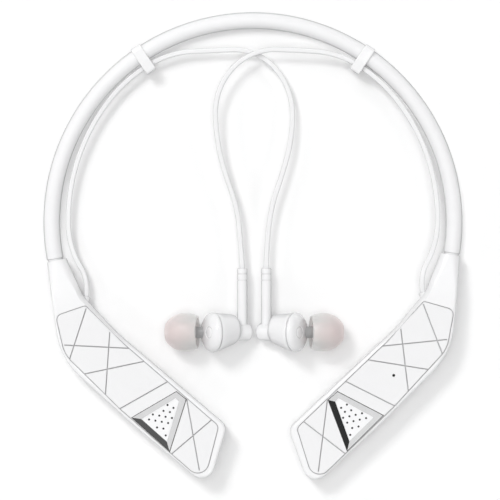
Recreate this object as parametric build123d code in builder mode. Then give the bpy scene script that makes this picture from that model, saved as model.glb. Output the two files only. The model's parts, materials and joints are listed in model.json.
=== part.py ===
from build123d import *
from math import atan2, cos, degrees, hypot, radians, sin
import os

# Neckband earphones, millimetres.
# Origin: centre of the neckband's arc, on the plane that the set lies on.
# +Y points to the back of the neck, +X to the right wing, +Z up.

# ---------------------------------------------------------------- driving dimensions
BAND_RADIUS = 68.2          # centreline of the neckband tube
TUBE_RADIUS = 2.8           # outside of the soft sleeve
SLEEVE_BORE = 1.9
WIRE_RADIUS = 0.6           # spring wire
HARNESS_RADIUS = 0.55       # insulated leads between the wings
BAND_END_LEFT = 190.8       # angle of the left wing's mouth
BAND_END_RIGHT = -9.1       # angle of the right wing's mouth
RIGHT_TOE_OUT = 1.2         # the right wing stands this much further open
TUBE_INSERT = 3.0           # length of the sleeve held inside a wing, in degrees
WIRE_INSERT = 9.0           # length of the wire held inside a wing, in degrees

WING_HEIGHT = 10.8
SPLIT = WING_HEIGHT / 2     # parting plane of a wing and height of the band
MOUTH_HEIGHT = 6.8          # thickness of a wing where the band enters
TAPER_END = -27.5           # from here to the tip a wing has its full height
CAVITY_END = -29.5          # a wing is solid between here and its mouth
WALL = 1.2
FLOOR = 1.2
CEILING = 9.0               # underside of the top shell
PANEL_SEAT = 10.0           # the cover panel lies in a recess of this height
PANEL_GAP = 0.12            # groove round the cover panel
EDGE_ROUND = 1.0

CLIP_ANGLE = 34.0           # each clip's place, measured from the back of the neck
CLIP_WIDTH = 3.7
CLIP_WALL = 0.7
CLIP_FIT = 0.06
CABLE_RADIUS = 0.85
CABLE_SLOT = 1.15           # half width of the cable's slot in a clip
CABLE_AT_CLIP = 63.9        # radius of the cable's run through the clip
CABLE_RISE = 1.05           # the right cable runs this far above the band, the left this far below
LOOP_CENTRE = 0.35          # the two cable loops mirror about this x
HINGE_Y = 36.0              # widest point of a cable loop, where it bends when lifted
CABLE_LEVEL = {"left": SPLIT - CABLE_RISE, "right": SPLIT + CABLE_RISE}

BUD_CENTRE = 0.45           # the two earbuds mirror about this x
BUD_X = -13.5               # centre of the left bud's front rim
BUD_Y = -37.4
BUD_Z = 9.6
BUD_TILT = 26.0             # the body's front end leans up
NOZZLE_TILT = 7.8           # the nozzle leans down
RIM_RADIUS = 6.7
STEM_RADIUS = 1.7
STEM_TOP = -15.8
STEM_FROM_RIM = 11.0        # along the body's axis
BARREL_RADIUS = 2.9
TIP_RADIUS = 6.45

BUTTON_HEIGHT = 2.2
BUTTON_LENGTH = 6.4
BUTTON_FROM_CORNER = 19.6
ROCKER_LENGTH = 9.6
ROCKER_FROM_CORNER = 37.1
PROUD = 0.35                # how far the keys stand out of the wall
KEY_FIT = 0.08
PORT_FROM_CORNER = 34.5
PORT_LENGTH = 9.0
PORT_HEIGHT = 3.6
PORT_SET_BACK = 1.15        # from the wall's face in to the socket's mouth
SLIDER_LENGTH = 1.9
SLIDER_SLOT = 4.0
SLIDER_HEIGHT = 1.6

# ---------------------------------------------------------------- left wing outline
# corner x, corner y, rounding radius
WING_CORNERS = [
    (-63.2, -12.4, 0.5),
    (-57.65, -25.0, 9.0),
    (-46.4, -37.3, 40.0),
    (-8.7, -69.2, 4.0),
    (-15.0, -90.0, 4.5),
    (-41.2, -68.1, 60.0),
    (-65.3, -46.2, 25.0),
    (-69.8, -13.8, 0.5),
]
PANEL_CORNERS = [
    (-56.6, -28.2, 1.2),
    (-44.0, -40.8, 40.0),
    (-11.4, -69.0, 2.2),
    (-16.4, -88.4, 4.0),
    (-45.1, -63.4, 60.0),
    (-63.8, -45.0, 12.0),
    (-66.9, -31.7, 2.4),
]
BEZEL_OUTER = [(-41.3, -66.2), (-25.9, -57.2), (-22.4, -60.0), (-28.1, -78.0)]
BEZEL_INNER = [(-38.2, -66.7), (-26.1, -59.3), (-24.7, -60.7), (-29.0, -74.9)]
BEZEL_FIT = 0.05

# the wing's own frame: u runs from the mouth's side to the tip, v to the inner edge
WING_FRAME = Plane(origin=(-43.3, -52.95, 0), x_dir=(0.755, -0.656, 0), z_dir=(0, 0, 1))
SCREW_PLACES = [(34.0, 1.0), (-20.5, 0.0), (-29.0, 6.0)]
SCREW_RADIUS = 0.8
SCREW_HEAD = 1.5
SCREW_LENGTH = 7.0
BOSS_RADIUS = 2.1

os.makedirs("parts", exist_ok=True)


def write(part, name):
    """Label a finished piece and write it."""
    part.label = name
    export_step(part, f"parts/{name}.step")


# ---------------------------------------------------------------- helpers
def rounded_outline(corners, inset=0.0, height=0.0):
    """A closed outline with rounded corners, moved inward by inset."""
    with BuildSketch(Plane.XY.offset(height)) as outline:
        with BuildLine():
            Polyline(*[(x, y) for x, y, _ in corners], close=True)
        make_face()
        for x, y, radius in corners:
            corner = outline.vertices().sort_by_distance((x, y, height))[0]
            fillet(corner, radius)
        if inset:
            offset(amount=-inset)
    return outline.sketch


def polygon_face(points, inset=0.0, height=0.0):
    """A sharp-cornered outline, moved inward by inset."""
    with BuildSketch(Plane.XY.offset(height)) as outline:
        with BuildLine():
            Polyline(*points, close=True)
        make_face()
        if inset:
            offset(amount=-inset, kind=Kind.INTERSECTION)
    return outline.sketch


def cavity_outline(height):
    """The hollow of a wing: the outline less its wall, closed off near the mouth."""
    with BuildSketch(Plane.XY.offset(height)) as hollow:
        add(rounded_outline(WING_CORNERS, WALL))
        with Locations((-60, CAVITY_END)):
            Rectangle(60, 40, align=(Align.CENTER, Align.MIN), mode=Mode.SUBTRACT)
    return hollow.sketch


def band_ring(radius, start, end, section_radius, rise=0.0):
    """A round bar that follows the neckband from one angle to another."""
    with BuildPart(mode=Mode.PRIVATE) as ring:
        with BuildSketch(Plane.XZ):
            with Locations((radius, SPLIT + rise)):
                Circle(section_radius)
        revolve(axis=Axis.Z, revolution_arc=end - start)
    return Rot(0, 0, start) * ring.part


def inner_edge_plane(from_corner):
    """Plane on the wing's long inner wall; x runs to the tip, z points outward."""
    start_x, start_y, _ = WING_CORNERS[3]
    end_x, end_y, _ = WING_CORNERS[2]
    length = hypot(end_x - start_x, end_y - start_y)
    step_x = (end_x - start_x) / length
    step_y = (end_y - start_y) / length
    origin = (start_x + step_x * from_corner, start_y + step_y * from_corner, SPLIT)
    return Plane(origin=origin, x_dir=(-step_x, -step_y, 0), z_dir=(step_y, -step_x, 0))


def on_right(part):
    """The left wing's piece, mirrored and turned to its place on the right."""
    mirrored = mirror(part, about=Plane.YZ, mode=Mode.PRIVATE)
    arc_turn = BAND_END_RIGHT - (180 - BAND_END_LEFT)
    pivot = Pos(BAND_RADIUS * cos(radians(BAND_END_RIGHT)), BAND_RADIUS * sin(radians(BAND_END_RIGHT)), 0)
    toe = pivot * Rot(0, 0, RIGHT_TOE_OUT) * pivot.inverse()
    return toe * Rot(0, 0, arc_turn) * mirrored


# ---------------------------------------------------------------- neckband
WIRE_DROP = 0.75            # the wire lies below and the leads above the tube's middle

with BuildPart() as neckband_sleeve:
    add(band_ring(BAND_RADIUS, BAND_END_RIGHT - TUBE_INSERT, BAND_END_LEFT + TUBE_INSERT, TUBE_RADIUS))
    add(
        band_ring(BAND_RADIUS, BAND_END_RIGHT - 4, BAND_END_LEFT + 4, SLEEVE_BORE),
        mode=Mode.SUBTRACT,
    )
write(neckband_sleeve.part, "neckband_sleeve")

with BuildPart() as spring_wire:
    add(
        band_ring(
            BAND_RADIUS,
            BAND_END_RIGHT - WIRE_INSERT,
            BAND_END_LEFT + WIRE_INSERT,
            WIRE_RADIUS,
            -WIRE_DROP,
        )
    )
write(spring_wire.part, "spring_wire")

with BuildPart() as band_harness:
    add(
        band_ring(
            BAND_RADIUS,
            BAND_END_RIGHT - WIRE_INSERT,
            BAND_END_LEFT + WIRE_INSERT,
            HARNESS_RADIUS,
            WIRE_DROP,
        )
    )
write(band_harness.part, "band_harness")

# ---------------------------------------------------------------- wing solids
BAND_CHANNEL = 1.5          # radius of the passage that takes wire and leads into the cavity
PASSAGE = 18.0              # its length from the mouth, in degrees
SIDE_WALL_PAD = 1.4         # extra wall behind the charging port
CABLE_EXIT_FIT = 0.12


def wing_block(bottom, top):
    """The wing's outer form between two heights, thinned towards its mouth."""
    mouth_y = -11.0
    mouth_low = (WING_HEIGHT - MOUTH_HEIGHT) / 2
    with BuildPart(mode=Mode.PRIVATE) as block:
        extrude(rounded_outline(WING_CORNERS), amount=WING_HEIGHT)
        rims = block.faces().sort_by(Axis.Z)[0].edges() + block.faces().sort_by(Axis.Z)[-1].edges()
        fillet(rims, EDGE_ROUND)
        with BuildSketch(Plane.YZ.offset(-90)):
            with BuildLine():
                Polyline(
                    (mouth_y, max(mouth_low, bottom)),
                    (TAPER_END, bottom),
                    (-100, bottom),
                    (-100, top),
                    (TAPER_END, top),
                    (mouth_y, min(WING_HEIGHT - mouth_low, top)),
                    close=True,
                )
            make_face()
        extrude(amount=90, mode=Mode.INTERSECT)
    return block.part


def band_seat(side):
    """What the band takes out of a wing: tube seat, and passage for wire and leads."""
    reach = 4.0
    if side == "left":
        seat = band_ring(BAND_RADIUS, BAND_END_LEFT - reach, BAND_END_LEFT + TUBE_INSERT, TUBE_RADIUS)
        passage = band_ring(BAND_RADIUS, BAND_END_LEFT, BAND_END_LEFT + PASSAGE, BAND_CHANNEL)
    else:
        seat = band_ring(BAND_RADIUS, BAND_END_RIGHT - TUBE_INSERT, BAND_END_RIGHT + reach, TUBE_RADIUS)
        passage = band_ring(BAND_RADIUS, BAND_END_RIGHT - PASSAGE, BAND_END_RIGHT, BAND_CHANNEL)
    return seat + passage


def screw_holes(height, depth, radius):
    """Round holes for the case screws, going up from a height."""
    with BuildPart(mode=Mode.PRIVATE) as holes:
        with BuildSketch(WING_FRAME.offset(height)):
            with Locations(*SCREW_PLACES):
                Circle(radius)
        extrude(amount=depth)
    return holes.part


def edge_block(plane, length, height, inward, outward):
    """A box through the inner wall, centred on the plane's origin."""
    with BuildPart(mode=Mode.PRIVATE) as block:
        with BuildSketch(plane.offset(-inward)):
            Rectangle(length, height)
        extrude(amount=inward + outward)
    return block.part


PORT_PLANE = inner_edge_plane(PORT_FROM_CORNER)
BUTTON_PLANE = inner_edge_plane(BUTTON_FROM_CORNER)
ROCKER_PLANE = inner_edge_plane(ROCKER_FROM_CORNER)
SLIDER_PLANE = Plane(origin=(-49.1, -34.35, SPLIT), x_dir=(0.675, -0.738, 0), z_dir=(0.738, 0.675, 0))

# cable exit: the cable leaves the inner wall close to the mouth
EXIT_POINT = (-56.9, -26.6)
EXIT_HEADING = 75.0         # in degrees from +X
GROMMET_RADIUS = 1.5
GROMMET_LENGTH = 4.0
GROMMET_BACK = 2.6


def exit_plane(side):
    """Plane across a cable where it leaves its wing, drawn on the left wing."""
    outward = (cos(radians(EXIT_HEADING)), sin(radians(EXIT_HEADING)), 0)
    return Plane(origin=(*EXIT_POINT, CABLE_LEVEL[side]), x_dir=(0, 0, 1), z_dir=outward)


def exit_bar(side, radius, back, length):
    """A round bar on the cable's exit axis."""
    with BuildPart(mode=Mode.PRIVATE) as bar:
        with BuildSketch(exit_plane(side).offset(-back)):
            Circle(radius)
        extrude(amount=length)
    return bar.part


def cable_exit(side):
    """What the grommet and the cable take out of a wing."""
    seat = exit_bar(side, GROMMET_RADIUS, GROMMET_BACK, GROMMET_LENGTH)
    return seat + exit_bar(side, CABLE_RADIUS + CABLE_EXIT_FIT, CABLE_TAIL, CABLE_TAIL + 6)


CABLE_TAIL = 8.0            # room for the cable's end inside the wing
PORT_OPENING = (7.8, 2.9)


def key_openings(side):
    """What the side keys or the charging port take out of a wing's inner wall."""
    if side == "left":
        slot = edge_block(SLIDER_PLANE, SLIDER_SLOT, SLIDER_HEIGHT + 2 * KEY_FIT, 3, 1)
        port = edge_block(PORT_PLANE, *PORT_OPENING, 6, 1)
        lid = edge_block(PORT_PLANE, PORT_LENGTH + 2 * KEY_FIT, PORT_HEIGHT + 2 * KEY_FIT, 1.1, 1)
        return slot + port + lid
    button = edge_block(BUTTON_PLANE, BUTTON_LENGTH + 2 * KEY_FIT, BUTTON_HEIGHT + 2 * KEY_FIT, 3, 1)
    rocker = edge_block(ROCKER_PLANE, ROCKER_LENGTH + 4 * KEY_FIT, BUTTON_HEIGHT + 2 * KEY_FIT, 3, 1)
    return button + rocker


def bottom_shell(side):
    """Lower half of a wing, with screw bosses."""
    with BuildPart(mode=Mode.PRIVATE) as shell:
        add(wing_block(0, SPLIT))
        extrude(cavity_outline(FLOOR), amount=WING_HEIGHT, mode=Mode.SUBTRACT)
        add(screw_holes(FLOOR - 0.2, SPLIT - FLOOR + 0.2, BOSS_RADIUS))
        if side == "left":
            with BuildSketch(PORT_PLANE.offset(-WALL - SIDE_WALL_PAD)):
                with Locations((0, (SPLIT - FLOOR) / 2)):
                    Rectangle(PORT_LENGTH + 4, SPLIT - FLOOR)
            extrude(amount=SIDE_WALL_PAD + 0.3)
        add(screw_holes(0, SPLIT, SCREW_RADIUS + 0.03), mode=Mode.SUBTRACT)
        with BuildSketch(WING_FRAME):
            with Locations(*SCREW_PLACES):
                Circle(SCREW_HEAD + 0.05)
        extrude(amount=SCREW_HEAD - SCREW_RADIUS, taper=45, mode=Mode.SUBTRACT)
        add(key_openings(side), mode=Mode.SUBTRACT)
        add(cable_exit(side), mode=Mode.SUBTRACT)
    return shell.part


def top_shell(side):
    """Upper half of a wing, with the recess for its cover panel."""
    with BuildPart(mode=Mode.PRIVATE) as shell:
        add(wing_block(SPLIT, WING_HEIGHT))
        extrude(cavity_outline(SPLIT), amount=CEILING - SPLIT, mode=Mode.SUBTRACT)
        add(screw_holes(SPLIT, CEILING - SPLIT, BOSS_RADIUS))
        if side == "left":
            with BuildSketch(PORT_PLANE.offset(-WALL - SIDE_WALL_PAD)):
                with Locations((0, (SPLIT - CEILING) / 2)):
                    Rectangle(PORT_LENGTH + 4, CEILING - SPLIT)
            extrude(amount=SIDE_WALL_PAD + 0.3)
        extrude(rounded_outline(PANEL_CORNERS, 0, PANEL_SEAT), amount=2, mode=Mode.SUBTRACT)
        extrude(polygon_face(BEZEL_OUTER, -BEZEL_FIT, SPLIT), amount=WING_HEIGHT, mode=Mode.SUBTRACT)
        add(screw_holes(SPLIT, SCREW_LENGTH - SPLIT + 0.3, SCREW_RADIUS + 0.03), mode=Mode.SUBTRACT)
        if side == "right":
            add(microphone_hole(), mode=Mode.SUBTRACT)
        add(key_openings(side), mode=Mode.SUBTRACT)
        add(cable_exit(side), mode=Mode.SUBTRACT)
    return shell.part


MICROPHONE_PLACE = (-45.2, -52.9)
MICROPHONE_HOLE = 0.5


def microphone_hole():
    """Sound inlet through the top of the right wing, drawn on the left one."""
    with BuildPart(mode=Mode.PRIVATE) as hole:
        with BuildSketch(Plane.XY.offset(SPLIT)):
            with Locations(MICROPHONE_PLACE):
                Circle(MICROPHONE_HOLE)
        extrude(amount=WING_HEIGHT)
    return hole.part


# ---------------------------------------------------------------- cover panel
GROOVE_WIDTH = 0.3
GROOVE_DEPTH = 0.25
# ends of the straight grooves that are cut across the panel
GROOVES = [
    ((-56.4, -29.3), (-62.0, -46.5)),
    ((-63.8, -41.7), (-42.0, -42.8)),
    ((-48.4, -37.3), (-49.9, -58.9)),
    ((-57.5, -51.6), (-36.7, -47.2)),
    ((-45.1, -63.3), (-28.7, -54.0)),
    ((-22.4, -60.0), (-18.1, -84.1)),
    ((-27.8, -78.8), (-13.9, -66.9)),
]


def cover_panel(side):
    """Inlay that fills the recess of the top shell."""
    with BuildPart(mode=Mode.PRIVATE) as panel:
        extrude(rounded_outline(PANEL_CORNERS, PANEL_GAP, PANEL_SEAT), amount=WING_HEIGHT - PANEL_SEAT)
        extrude(polygon_face(BEZEL_OUTER, -BEZEL_FIT, SPLIT), amount=WING_HEIGHT, mode=Mode.SUBTRACT)
        for start, end in GROOVES:
            length = hypot(end[0] - start[0], end[1] - start[1])
            angle = degrees(atan2(end[1] - start[1], end[0] - start[0]))
            centre = ((start[0] + end[0]) / 2, (start[1] + end[1]) / 2)
            with BuildSketch(Plane.XY.offset(WING_HEIGHT - GROOVE_DEPTH)):
                with Locations(Location((*centre, 0), (0, 0, angle))):
                    Rectangle(length, GROOVE_WIDTH)
            extrude(amount=1, mode=Mode.SUBTRACT)
        if side == "right":
            add(microphone_hole(), mode=Mode.SUBTRACT)
    return panel.part


# ---------------------------------------------------------------- speaker grille
BEZEL_TOP = WING_HEIGHT + 0.15
BEZEL_LIP = 9.85            # height of the bevel's inner edge
BEZEL_BOTTOM = 9.3
GRILLE_TOP = 9.75
GRILLE_BOTTOM = 9.3
GRILLE_GAP = 0.05
GRILLE_HOLE = 0.36
# the holes stand in a staggered grid; each row is its start and its number of holes
GRILLE_STEP = (-2.15, 0.4)
GRILLE_ROWS = [
    ((-26.9, -63.0), 1),
    ((-28.9, -62.0), 1),
    ((-28.1, -64.4), 2),
    ((-27.4, -66.4), 4),
    ((-28.7, -68.1), 4),
    ((-30.3, -70.0), 2),
    ((-29.5, -72.3), 1),
]


def bezel():
    """Plated frame whose faces slope down to the grille."""
    with BuildPart(mode=Mode.PRIVATE) as frame:
        extrude(polygon_face(BEZEL_OUTER, 0, BEZEL_BOTTOM), amount=BEZEL_TOP - BEZEL_BOTTOM)
        extrude(polygon_face(BEZEL_INNER, 0, BEZEL_BOTTOM), amount=4, mode=Mode.SUBTRACT)
        with BuildSketch(Plane.XY.offset(BEZEL_LIP)):
            add(polygon_face(BEZEL_INNER, 0))
        with BuildSketch(Plane.XY.offset(BEZEL_TOP)):
            add(polygon_face(BEZEL_OUTER, 0.2))
        loft(mode=Mode.SUBTRACT)
    return frame.part


def grille():
    """Perforated plate inside the bezel."""
    with BuildPart(mode=Mode.PRIVATE) as plate:
        extrude(polygon_face(BEZEL_INNER, GRILLE_GAP, GRILLE_BOTTOM), amount=GRILLE_TOP - GRILLE_BOTTOM)
        with BuildSketch(Plane.XY.offset(GRILLE_BOTTOM)):
            for (start_x, start_y), count in GRILLE_ROWS:
                for index in range(count):
                    with Locations((start_x + GRILLE_STEP[0] * index, start_y + GRILLE_STEP[1] * index)):
                        Circle(GRILLE_HOLE)
        extrude(amount=1, mode=Mode.SUBTRACT)
    return plate.part


SPEAKER_PLACE = (18.7, -0.5)
SPEAKER_RADIUS = 6.2


def speaker():
    """Round loudspeaker under the grille: basket, magnet cup and dished cone."""
    with BuildPart(mode=Mode.PRIVATE) as unit:
        with BuildSketch(WING_FRAME.offset(5.2)):
            with Locations(SPEAKER_PLACE):
                Circle(SPEAKER_RADIUS - 2)
        extrude(amount=1.6)
        with BuildSketch(WING_FRAME.offset(6.8)):
            with Locations(SPEAKER_PLACE):
                Circle(SPEAKER_RADIUS)
        extrude(amount=1.6)
        with BuildSketch(WING_FRAME.offset(7.8)):
            with Locations(SPEAKER_PLACE):
                Circle(SPEAKER_RADIUS - 1)
        extrude(amount=0.6, mode=Mode.SUBTRACT)
    return unit.part


def case_screws():
    """Countersunk screws that close a wing from below."""
    with BuildPart(mode=Mode.PRIVATE) as screws:
        with BuildSketch(WING_FRAME):
            with Locations(*SCREW_PLACES):
                Circle(SCREW_HEAD)
        extrude(amount=SCREW_HEAD - SCREW_RADIUS, taper=45)
        add(screw_holes(0, SCREW_LENGTH, SCREW_RADIUS))
        with BuildSketch(WING_FRAME):
            with Locations(*SCREW_PLACES):
                RectangleRounded(1.3, 0.3, 0.1)
                RectangleRounded(0.3, 1.3, 0.1)
        extrude(amount=0.5, mode=Mode.SUBTRACT)
    return screws.part


def cable_grommet(side):
    """Soft bush that holds the cable in the wall."""
    plane = exit_plane(side)
    with BuildPart(mode=Mode.PRIVATE) as bush:
        add(exit_bar(side, GROMMET_RADIUS - 0.02, GROMMET_BACK, GROMMET_LENGTH))
        outer_rim = bush.faces().sort_by(Axis(plane.origin, plane.z_dir))[-1]
        fillet(outer_rim.edges(), 0.35)
        add(
            exit_bar(side, CABLE_RADIUS + CABLE_EXIT_FIT, GROMMET_BACK, GROMMET_LENGTH),
            mode=Mode.SUBTRACT,
        )
    return bush.part


for side in ("left", "right"):
    wing_pieces = {
        "bottom_shell": bottom_shell(side),
        "top_shell": top_shell(side),
        "cover_panel": cover_panel(side),
        "cable_grommet": cable_grommet(side),
        "bezel": bezel(),
        "grille": grille(),
        "speaker": speaker(),
        "case_screws": case_screws(),
    }
    for name, part in wing_pieces.items():
        placed = part if side == "left" else on_right(part)
        if name.endswith("shell"):
            placed = placed - band_seat(side)
        write(placed, f"{side}_{name}")

# ---------------------------------------------------------------- inside the left wing
CELL_SIZE = (23.0, 10.6, 4.2)
CELL_PLACE = (-2.5, -2.1)
POWER_BOARD_SIZE = (21.0, 8.0, 0.8)
PORT_SIZE = (7.5, 5.0, 2.6)     # micro charging receptacle: width, depth, height

with BuildPart() as battery:
    with BuildSketch(WING_FRAME.offset(FLOOR + 0.1)):
        with Locations(CELL_PLACE):
            RectangleRounded(CELL_SIZE[0], CELL_SIZE[1], 1.2)
    extrude(amount=CELL_SIZE[2])
    fillet(battery.faces().sort_by(Axis.Z)[-1].edges(), 0.5)
write(battery.part, "battery")

with BuildPart() as power_board:
    with BuildSketch(WING_FRAME.offset(FLOOR + CELL_SIZE[2] + 0.3)):
        with Locations((CELL_PLACE[0], CELL_PLACE[1] - 0.4)):
            RectangleRounded(POWER_BOARD_SIZE[0], POWER_BOARD_SIZE[1], 0.8)
    extrude(amount=POWER_BOARD_SIZE[2])
    with BuildSketch(WING_FRAME.offset(FLOOR + CELL_SIZE[2] + 0.3 + POWER_BOARD_SIZE[2])):
        with Locations(CELL_PLACE):
            with GridLocations(6, 3.4, 3, 2):
                Rectangle(2.4, 2.0)
    extrude(amount=0.9)
write(power_board.part, "power_board")

with BuildPart() as charging_port:
    with BuildSketch(PORT_PLANE.offset(-PORT_SET_BACK - PORT_SIZE[1])):
        RectangleRounded(PORT_SIZE[0], PORT_SIZE[2], 0.6)
    extrude(amount=PORT_SIZE[1])
    mouth_face = charging_port.faces().sort_by(Axis(PORT_PLANE.origin, PORT_PLANE.z_dir))[-1]
    offset(amount=-0.3, openings=mouth_face)
    with BuildSketch(PORT_PLANE.offset(-PORT_SET_BACK - PORT_SIZE[1])):
        Rectangle(4.4, 0.5)
    extrude(amount=3.4)
write(charging_port.part, "charging_port")

# soft lid of the charging port; it swings on its end nearest the mouth
LID_THICKNESS = 1.0
LID_PLUG = (5.0, 1.3, 0.8)
with BuildPart() as port_lid:
    with BuildSketch(PORT_PLANE.offset(-LID_THICKNESS)):
        RectangleRounded(PORT_LENGTH, PORT_HEIGHT, 0.7)
    extrude(amount=LID_THICKNESS + 0.1)
    with BuildSketch(PORT_PLANE.offset(-LID_THICKNESS - LID_PLUG[2])):
        with Locations((0.4, -LID_PLUG[1] / 2), (0.4, LID_PLUG[1] / 2)):
            Rectangle(LID_PLUG[0], 0.25)
    extrude(amount=LID_PLUG[2])
write(port_lid.part, "port_lid")

SLIDER_TRAVEL = 1.9
SLIDER_REST = -SLIDER_TRAVEL / 2
with BuildPart() as power_slider:
    with BuildSketch(SLIDER_PLANE.offset(-1.9)):
        with Locations((SLIDER_REST, 0)):
            Rectangle(SLIDER_LENGTH, SLIDER_HEIGHT)
    extrude(amount=1.9 + 0.5)
    with BuildSketch(SLIDER_PLANE.offset(-1.9)):
        with Locations((SLIDER_REST, 0)):
            Rectangle(SLIDER_LENGTH + 1.6, SLIDER_HEIGHT + 1.0)
    extrude(amount=0.5)
    with BuildSketch(SLIDER_PLANE.offset(0.5)):
        with Locations((SLIDER_REST, 0)):
            with GridLocations(0.6, 1, 3, 1):
                Rectangle(0.2, SLIDER_HEIGHT)
    extrude(amount=-0.15, mode=Mode.SUBTRACT)
write(power_slider.part, "power_slider")

with BuildPart() as power_switch:
    with BuildSketch(SLIDER_PLANE.offset(-4.4)):
        Rectangle(6.6, 2.8)
    extrude(amount=2.4)
write(power_switch.part, "power_switch")

# ---------------------------------------------------------------- inside the right wing
# pieces are drawn on the left wing and then put on the right one
MAIN_BOARD_SIZE = (26.0, 11.0, 0.8)
MAIN_BOARD_Z = 3.4
KEY_TRAVEL = 0.25
KEY_FLANGE = 0.6
KEY_REACH = 2.3             # from the wall's face to the back of a key's plunger

with BuildPart(mode=Mode.PRIVATE) as main_board:
    with BuildSketch(WING_FRAME.offset(MAIN_BOARD_Z)):
        with Locations((-2.0, 1.2)):
            RectangleRounded(MAIN_BOARD_SIZE[0], MAIN_BOARD_SIZE[1], 0.8)
    extrude(amount=MAIN_BOARD_SIZE[2])
write(on_right(main_board.part), "main_board")

with BuildPart(mode=Mode.PRIVATE) as board_chips:
    with BuildSketch(WING_FRAME.offset(MAIN_BOARD_Z + MAIN_BOARD_SIZE[2])):
        with Locations((-8.0, 0.5)):
            RectangleRounded(9, 7, 0.4)
        with Locations((0, 0)):
            Rectangle(3, 3)
        with Locations((6, 1)):
            with GridLocations(2.2, 3.0, 2, 2):
                Rectangle(1.2, 1.8)
    extrude(amount=1.3)
write(on_right(board_chips.part), "board_chips")

with BuildPart(mode=Mode.PRIVATE) as play_button:
    with BuildSketch(BUTTON_PLANE.offset(-1.5)):
        RectangleRounded(BUTTON_LENGTH, BUTTON_HEIGHT, 0.8)
    extrude(amount=1.5 + PROUD)
    with BuildSketch(BUTTON_PLANE.offset(-WALL - KEY_FLANGE - KEY_TRAVEL + 0.2)):
        Rectangle(BUTTON_LENGTH + 1.4, BUTTON_HEIGHT + 1.0)
    extrude(amount=KEY_FLANGE)
    with BuildSketch(BUTTON_PLANE.offset(-KEY_REACH)):
        Circle(0.7)
    extrude(amount=KEY_REACH - WALL)
write(on_right(play_button.part), "play_button")

with BuildPart(mode=Mode.PRIVATE) as volume_rocker:
    with BuildSketch(ROCKER_PLANE.offset(-1.7)):
        RectangleRounded(ROCKER_LENGTH, BUTTON_HEIGHT, 0.8)
    extrude(amount=1.7 + PROUD)
    with BuildSketch(ROCKER_PLANE.offset(-2.0)):
        Rectangle(ROCKER_LENGTH + 1.2, BUTTON_HEIGHT)
    extrude(amount=0.5)
    with BuildSketch(ROCKER_PLANE.offset(-KEY_REACH)):
        with Locations((-3.4, 0), (3.4, 0)):
            Circle(0.6)
    extrude(amount=0.8)
    with BuildSketch(ROCKER_PLANE):
        Rectangle(0.35, BUTTON_HEIGHT + 1)
    extrude(amount=PROUD + 1, mode=Mode.SUBTRACT)
write(on_right(volume_rocker.part), "volume_rocker")

with BuildPart(mode=Mode.PRIVATE) as key_switches:
    with BuildSketch(BUTTON_PLANE.offset(-KEY_REACH - 0.35 - 1.6)):
        Rectangle(3.4, 1.9)
    extrude(amount=1.6)
    with BuildSketch(ROCKER_PLANE.offset(-KEY_REACH - 0.35 - 1.6)):
        with Locations((-3.4, 0), (3.4, 0)):
            Rectangle(3.0, 1.9)
    extrude(amount=1.6)
write(on_right(key_switches.part), "key_switches")

with BuildPart(mode=Mode.PRIVATE) as microphone:
    with BuildSketch(Plane.XY.offset(CEILING - 1.3)):
        with Locations(MICROPHONE_PLACE):
            Circle(2.0)
    extrude(amount=1.2)
write(on_right(microphone.part), "microphone")

# ---------------------------------------------------------------- cable clips
CLIP_INNER = 61.4
CLIP_OUTER = 71.5


def clip(angle, side):
    """Moulded strap that holds a cable against the band."""
    half_height = TUBE_RADIUS + CLIP_WALL
    neck_height = 2.9
    with BuildPart(mode=Mode.PRIVATE) as strap:
        with BuildSketch(Plane.YZ.offset(-CLIP_WIDTH / 2)):
            with BuildLine():
                Polyline(
                    (CLIP_INNER, SPLIT - neck_height),
                    (BAND_RADIUS - TUBE_RADIUS, SPLIT - half_height),
                    (CLIP_OUTER, SPLIT - half_height),
                    (CLIP_OUTER, SPLIT + half_height),
                    (BAND_RADIUS - TUBE_RADIUS, SPLIT + half_height),
                    (CLIP_INNER, SPLIT + neck_height),
                    close=True,
                )
            make_face()
        extrude(amount=CLIP_WIDTH)
        fillet(strap.edges().filter_by(Axis.X), 0.6)
    straight = Rot(0, 0, angle - 90) * strap.part
    tube = band_ring(BAND_RADIUS, angle - 6, angle + 6, TUBE_RADIUS + CLIP_FIT)
    with BuildPart(mode=Mode.PRIVATE) as slot:
        with BuildSketch(Plane.XZ):
            with Locations((CABLE_AT_CLIP, CABLE_LEVEL[side])):
                SlotCenterToCenter(2 * (CABLE_SLOT - CABLE_RADIUS), 2 * CABLE_RADIUS + 0.2)
        revolve(axis=Axis.Z, revolution_arc=12)
    return straight - tube - Rot(0, 0, angle - 6) * slot.part


write(clip(90 + CLIP_ANGLE, "left"), "left_clip")
write(clip(90 - CLIP_ANGLE, "right"), "right_clip")

# ---------------------------------------------------------------- cables
# Left cable: out of the left wing, along the band, through the left clip,
# then round the loop and down to the right earbud. The right one is its mirror image.
WING_RUN = [EXIT_POINT, (-58.5, -15.3)]
BAND_RUN = [(140, CABLE_AT_CLIP), (123, CABLE_AT_CLIP)]
BAND_START = 9.4            # degrees from the wing's mouth to where the cable runs along the band
BAND_START_RADIUS = 62.6
LOOP_RUN = [(-20.5, 57.8), (-7.5, 58.4), (7.6, 52.0), (13.4, 36.9)]
DROP_RUN = [(13.4, 36.0), (11.4, 21.3), (8.2, 11.0), (5.4, -1.5), (4.5, STEM_TOP)]
DROP_END = 2.0              # length of cable inside the stem
CABLE_START = 4.0           # length of cable inside the wing


def polar_point(angle, radius):
    """Plan point at an angle and a distance from the band's centre."""
    return (radius * cos(radians(angle)), radius * sin(radians(angle)))


def mirror_x(point, centre):
    """A plan point mirrored about the line x = centre."""
    return (2 * centre - point[0], point[1])


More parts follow.
